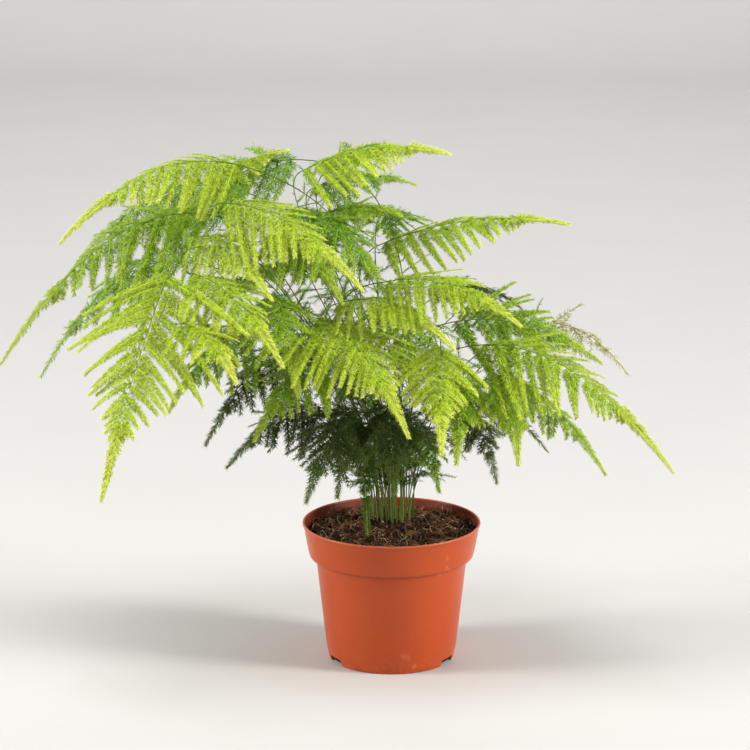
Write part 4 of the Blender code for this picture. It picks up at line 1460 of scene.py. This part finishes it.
@dataclass(frozen=True)
class Soil:
    """The soil that fills the pot, and the bits that lie on it. Sizes in millimetres."""

    pot: Pot
    gap: float = 0.3
    level: float = 88.0
    bump: float = 1.3
    mound: float = 2.5
    around: int = 160
    edge_radius: float = 57.0
    rings: int = 50

    def ground(self, x: Array, y: Array) -> Array:
        """Give the height of the surface.

        Two crossed sine waves and a low mound at the crown, as in the solid, plus
        noises with squares of 8, 3.6 and 1.7 mm, and a slope down to the wall.

        Args:
            x: Places across.
            y: Places along.

        Returns:
            The heights.
        """
        waves = np.sin(0.21 * x + 0.6) * np.cos(0.17 * y - 0.4) + 0.6 * np.sin(0.11 * x - 0.29 * y)
        away = np.hypot(x - CROWN.across, y - CROWN.along) / (1.6 * CROWN.radius)
        clods = 0.7 * noise(x, y, 8.0, 11) + 0.8 * noise(x, y, 3.6, 12) + 0.45 * noise(x, y, 1.7, 13)
        edge = np.clip((np.hypot(x, y) - 51.0) / 6.0, 0.0, 1.0)
        return self.level + self.bump * waves + self.mound * np.exp(-away * away) + clods - 1.2 * edge * edge

    def bed(self, finish: PeatFinish) -> bpy.types.Object:
        """Make the body of soil: a turned section below, and the bumpy surface on top.

        Args:
            finish: Its finish.

        Returns:
            The piece.
        """
        pot, gap, low = self.pot, self.gap, self.pot.floor + self.gap
        below = [
            (0.0, low), (pot.body_radius(low) - pot.wall - gap, low),
            (pot.body_top_radius - pot.wall - gap, pot.body_top_height + 0.8),
            (pot.body_top_radius + 1.2 - gap, pot.body_top_height + 2.4),
            (pot.band_foot_radius - pot.wall - gap - 0.1, pot.band_foot_height + 0.8), (57.2, 86.0),
        ]
        top = [(radius, 0.0) for radius in np.linspace(self.edge_radius, 0.0, self.rings)]
        profile = np.array(below + top)

        def lift(x: Array, y: Array, number: Array) -> Array:
            """Raise the surface's points to the ground, and leave the section's as drawn."""
            return np.where(number >= len(below), self.ground(x, y), 0.0)

        skin = turned_skin(profile, self.around, np.zeros(len(profile) - 1, int), lift)
        return show("peat_bed", skin.mesh("peat_bed", [finish.bed()]), ["soil"])

    def scatter(self, count: int, rng: np.random.Generator, outer: float = 56.0) -> tuple[Array, Array]:
        """Spread places evenly over the surface, clear of the stems' feet.

        Args:
            count: How many are drawn. Those among the feet are left out.
            rng: The source of chance.
            outer: The radius that they stay within.

        Returns:
            The places across and along.
        """
        radius = outer * np.sqrt(rng.uniform(0.0, 1.0, count))
        turn = rng.uniform(0.0, 2.0 * math.pi, count)
        x, y = radius * np.cos(turn), radius * np.sin(turn)
        clear = np.hypot(x - CROWN.across, y - CROWN.along) > CROWN.radius * rng.uniform(0.5, 1.1, count)
        return x[clear], y[clear]

    def lumps(self, count: int, low: float, high: float, seed: int) -> Skin:
        """Make lumps: twenty-sided solids, each squeezed, turned and dented by chance.

        Args:
            count: How many are drawn.
            low: The least radius.
            high: The greatest radius.
            seed: The number that fixes them.

        Returns:
            The lumps, sunk a little into the surface.
        """
        rng = np.random.default_rng(seed)
        x, y = self.scatter(count, rng)
        many = len(x)
        size = low + (high - low) * rng.uniform(0.0, 1.0, many) ** 3
        golden = (1.0 + math.sqrt(5.0)) / 2.0
        corners = np.array([
            (-1, golden, 0), (1, golden, 0), (-1, -golden, 0), (1, -golden, 0),
            (0, -1, golden), (0, 1, golden), (0, -1, -golden), (0, 1, -golden),
            (golden, 0, -1), (golden, 0, 1), (-golden, 0, -1), (-golden, 0, 1),
        ])
        faces = np.array([
            (0, 11, 5), (0, 5, 1), (0, 1, 7), (0, 7, 10), (0, 10, 11), (1, 5, 9), (5, 11, 4), (11, 10, 2),
            (10, 7, 6), (7, 1, 8), (3, 9, 4), (3, 4, 2), (3, 2, 6), (3, 6, 8), (3, 8, 9),
            (4, 9, 5), (2, 4, 11),
            (6, 2, 10), (8, 6, 7), (9, 8, 1),
        ])
        shapes = unit(corners)[None] * rng.uniform(0.75, 1.2, (many, 12, 1))
        shapes = shapes * rng.uniform(0.6, 1.25, (many, 1, 3))
        turns, _ = np.linalg.qr(rng.normal(size=(many, 3, 3)))
        turns = turns * np.sign(np.linalg.det(turns))[:, None, None]
        centre = np.stack([x, y, self.ground(x, y) + 0.25 * size], axis=1)
        points = centre[:, None, :] + size[:, None, None] * (shapes @ turns)
        chance = rng.uniform(0.05, 0.93, many)
        places = np.stack([
            np.tile(np.linspace(0.1, 0.9, 12), many),
            np.repeat(chance, 12) + np.tile(np.linspace(0, 0.03, 12), many),
        ], axis=1)
        triangles = (12 * np.arange(many)[:, None, None] + faces).reshape(-1, 3)
        return Skin(points.reshape(-1, 3), triangles, places, np.zeros(len(triangles)))

    def strands(
        self, count: int, lengths: tuple[float, float], radius: float, bend: float, flat: float, hump: float,
        around: int, rings: int, seed: int,
    ) -> Skin:
        """Lay curved strands on the surface.

        A strand runs level on an arc of a circle, follows the ground under it, and
        rises between its ends by its hump times the sine of the way along.

        Args:
            count: How many are drawn.
            lengths: The least and greatest length.
            radius: The half width of the thickest.
            bend: How strongly they curve, as the spread of one over the circle's radius.
            flat: The thickness as a part of the width.
            hump: The greatest rise.
            around: The points of each ring.
            rings: The rings of each strand.
            seed: The number that fixes them.

        Returns:
            The strands.
        """
        rng = np.random.default_rng(seed)
        x, y = self.scatter(count, rng, 55.0)
        many = len(x)
        s = np.linspace(0.0, 1.0, rings)
        length = rng.uniform(*lengths, many)[:, None]
        turn = rng.uniform(0.0, 2.0 * math.pi, many)[:, None]
        turn = turn + rng.normal(0.0, bend, many)[:, None] * length * s
        step = length / (rings - 1)
        across = x[:, None] + np.cumsum(np.cos(turn) * step, axis=1)
        along = y[:, None] + np.cumsum(np.sin(turn) * step, axis=1)
        inward = np.minimum(1.0, 56.6 / np.hypot(across, along))
        across, along = across * inward, along * inward
        rise = hump * rng.uniform(0.0, 1.0, many)[:, None] ** 2 * np.sin(math.pi * s)
        height = self.ground(across, along) + 0.25 + rise
        centres = np.stack([across, along, height], axis=-1)
        ways = unit(np.gradient(centres, axis=1) + 1e-6)
        sides = unit(np.cross(ways, UP) + 1e-6)
        ups = np.cross(sides, ways)
        radii = radius * rng.uniform(0.5, 1.0, many)[:, None] * (1.0 - 0.55 * s**3) * np.ones((many, 1))
        places = np.stack(np.broadcast_arrays(0.1 + 0.8 * s, rng.uniform(0.05, 0.95, many)[:, None]), axis=-1)
        return tubes(centres, sides, flat * ups, radii, around, places)

    def build(self, finish: PeatFinish) -> None:
        """Make the soil, its crumbs, coir fibres, straw and pale grains, each as its own piece.

        Args:
            finish: Its finish.
        """
        self.bed(finish)
        crumb_stops = ((0.2, finish.black), (0.7, finish.brown), (1.0, finish.tan))
        coir_stops = ((0.1, (0.05, 0.018, 0.007)), (0.6, (0.32, 0.105, 0.028)), (0.95, (0.80, 0.50, 0.23)))
        straw_stops = ((0.1, (0.24, 0.10, 0.03)), (0.5, (0.60, 0.38, 0.17)), (0.9, (0.88, 0.70, 0.42)))
        grain_stops = ((0.1, (0.50, 0.40, 0.28)), (0.6, (0.70, 0.62, 0.50)), (0.95, (0.90, 0.87, 0.80)))
        crumb = finish.litter("peat_crumb", crumb_stops, 0.85)
        coir = finish.litter("coir", coir_stops, 0.7)
        straw = finish.litter("straw", straw_stops, 0.6)
        grain = finish.litter("pale_grain", grain_stops, 0.8)
        bits = (
            ("peat_crumbs", self.lumps(1100, 0.45, 2.6, 21), crumb),
            ("pale_grains", self.lumps(260, 0.28, 0.9, 22), grain),
            ("coir_fibres", self.strands(820, (5.0, 24.0), 0.14, 0.18, 1.0, 5.5, 3, 7, 23), coir),
            ("straw_bits", self.strands(110, (2.5, 8.0), 0.38, 0.05, 0.35, 0.8, 4, 4, 24), straw),
        )
        for name, skin, material in bits:
            show(name, skin.mesh(name, [material], LEAF_MAP))


@dataclass(frozen=True)
class Studio:
    """A plain pale floor that curves up behind, soft lights, and the photograph's camera. Sizes in metres."""

    eye: tuple[float, float, float] = (-0.0111, -2.0, 0.6875)
    pitch: float = 0.241
    lens: float = 148.27
    sensor: float = 36.0
    near: float = -2.6
    far: float = 2.7
    bend: float = 0.6
    top: float = 2.2
    half_width: float = 3.0

    def floor(self) -> bpy.types.Object:
        """Make the floor and backdrop: a level run, a quarter circle and an upright run, carried sideways.

        Returns:
            The floor.
        """
        turn = np.linspace(0.0, math.pi / 2.0, 16)
        y = np.concatenate([[self.near], self.far + self.bend * np.sin(turn), [self.far + self.bend]])
        z = np.concatenate([[0.0], self.bend * (1.0 - np.cos(turn)), [self.top]])
        count = len(y)
        sides = np.repeat([-self.half_width, self.half_width], count)
        points = np.stack([sides, np.tile(y, 2), np.tile(z, 2)], axis=1)
        step = np.arange(count - 1)
        faces = np.stack([step, count + step, count + step + 1, step + 1], axis=1)
        mesh = bpy.data.meshes.new("pale_floor")
        mesh.from_pydata(points.tolist(), [], faces.tolist())
        mesh.shade_smooth()
        paint = Paint("pale_floor", Roughness=0.75, Specular_IOR_Level=0.2)
        colour = paint.mix((0.63, 0.62, 0.605), (0.60, 0.59, 0.575), paint.grain(6.0, 2.0))
        mesh.materials.append(paint.finish(colour))
        floor = bpy.data.objects.new("pale_floor", mesh)
        bpy.context.scene.collection.objects.link(floor)
        return floor

    def light(
        self, name: str, place: Colour, aim: Colour, size: tuple[float, float], power: float, colour: Colour
    ) -> None:
        """Add a rectangular soft light.

        Args:
            name: Its name.
            place: Where it stands.
            aim: The point that it faces.
            size: Its width and height.
            power: Its power in watts.
            colour: Its colour.
        """
        lamp = bpy.data.lights.new(name, "AREA")
        lamp.shape, lamp.size, lamp.size_y, lamp.energy, lamp.color = "RECTANGLE", *size, power, colour
        thing = bpy.data.objects.new(name, lamp)
        bpy.context.scene.collection.objects.link(thing)
        way = unit(np.array(aim) - np.array(place))
        thing.location = place
        thing.rotation_euler = (math.acos(-way[2]), 0.0, math.atan2(way[1], way[0]) - math.pi / 2.0)

    def build(self) -> None:
        """Make the floor, the lights, the world and the camera."""
        self.floor()
        plant = (-0.02, 0.0, 0.2)
        self.light("left_light", (-2.0, -0.4, 0.95), plant, (0.5, 1.5), 45.0, (1.0, 0.98, 0.94))
        self.light("right_light", (1.9, -0.6, 0.9), plant, (0.5, 1.5), 57.0, (1.0, 0.98, 0.94))
        self.light("top_light", (-0.2, -0.4, 2.1), plant, (0.9, 0.9), 21.0, (1.0, 1.0, 1.0))
        self.light("backdrop_light", (0.0, 1.5, 2.3), (0.0, 3.2, 0.3), (3.0, 0.6), 38.0, (1.0, 1.0, 1.0))
        world = bpy.data.worlds.new("soft_room")
        world.use_nodes = True
        world.node_tree.nodes["Background"].inputs[0].default_value = (0.95, 0.97, 1.0, 1.0)
        world.node_tree.nodes["Background"].inputs[1].default_value = 0.22
        bpy.context.scene.world = world
        camera = bpy.data.objects.new("camera", bpy.data.cameras.new("camera"))
        camera.data.lens, camera.data.sensor_width = self.lens, self.sensor
        camera.location = self.eye
        camera.rotation_euler = (math.pi / 2.0 - self.pitch, 0.0, 0.0)
        bpy.context.scene.collection.objects.link(camera)
        bpy.context.scene.camera = camera
        bpy.context.scene.view_settings.view_transform = "Standard"


def main() -> None:
    """Build the studio, the pot, the soil and every frond, and note the sizes."""
    logging.basicConfig(level=logging.INFO, format="%(message)s")
    Studio().build()
    pot = Pot()
    pot.build(PlasticFinish())
    Soil(pot).build(PeatFinish())
    needles = {tone: finish.needles("leaf_" + tone.value) for tone, finish in LEAF_FINISHES.items()}
    ribs = {tone: finish.ribs("rib_" + tone.value) for tone, finish in LEAF_FINISHES.items()}
    for number, frond in enumerate(FRONDS):
        tufts = needles[Tone.DEEP if frond.tone is Tone.DEEP else Tone.GREEN]
        frond.build([needles[frond.tone], ribs[frond.tone], tufts], 100 + number)


if __name__ == "__main__":
    main()
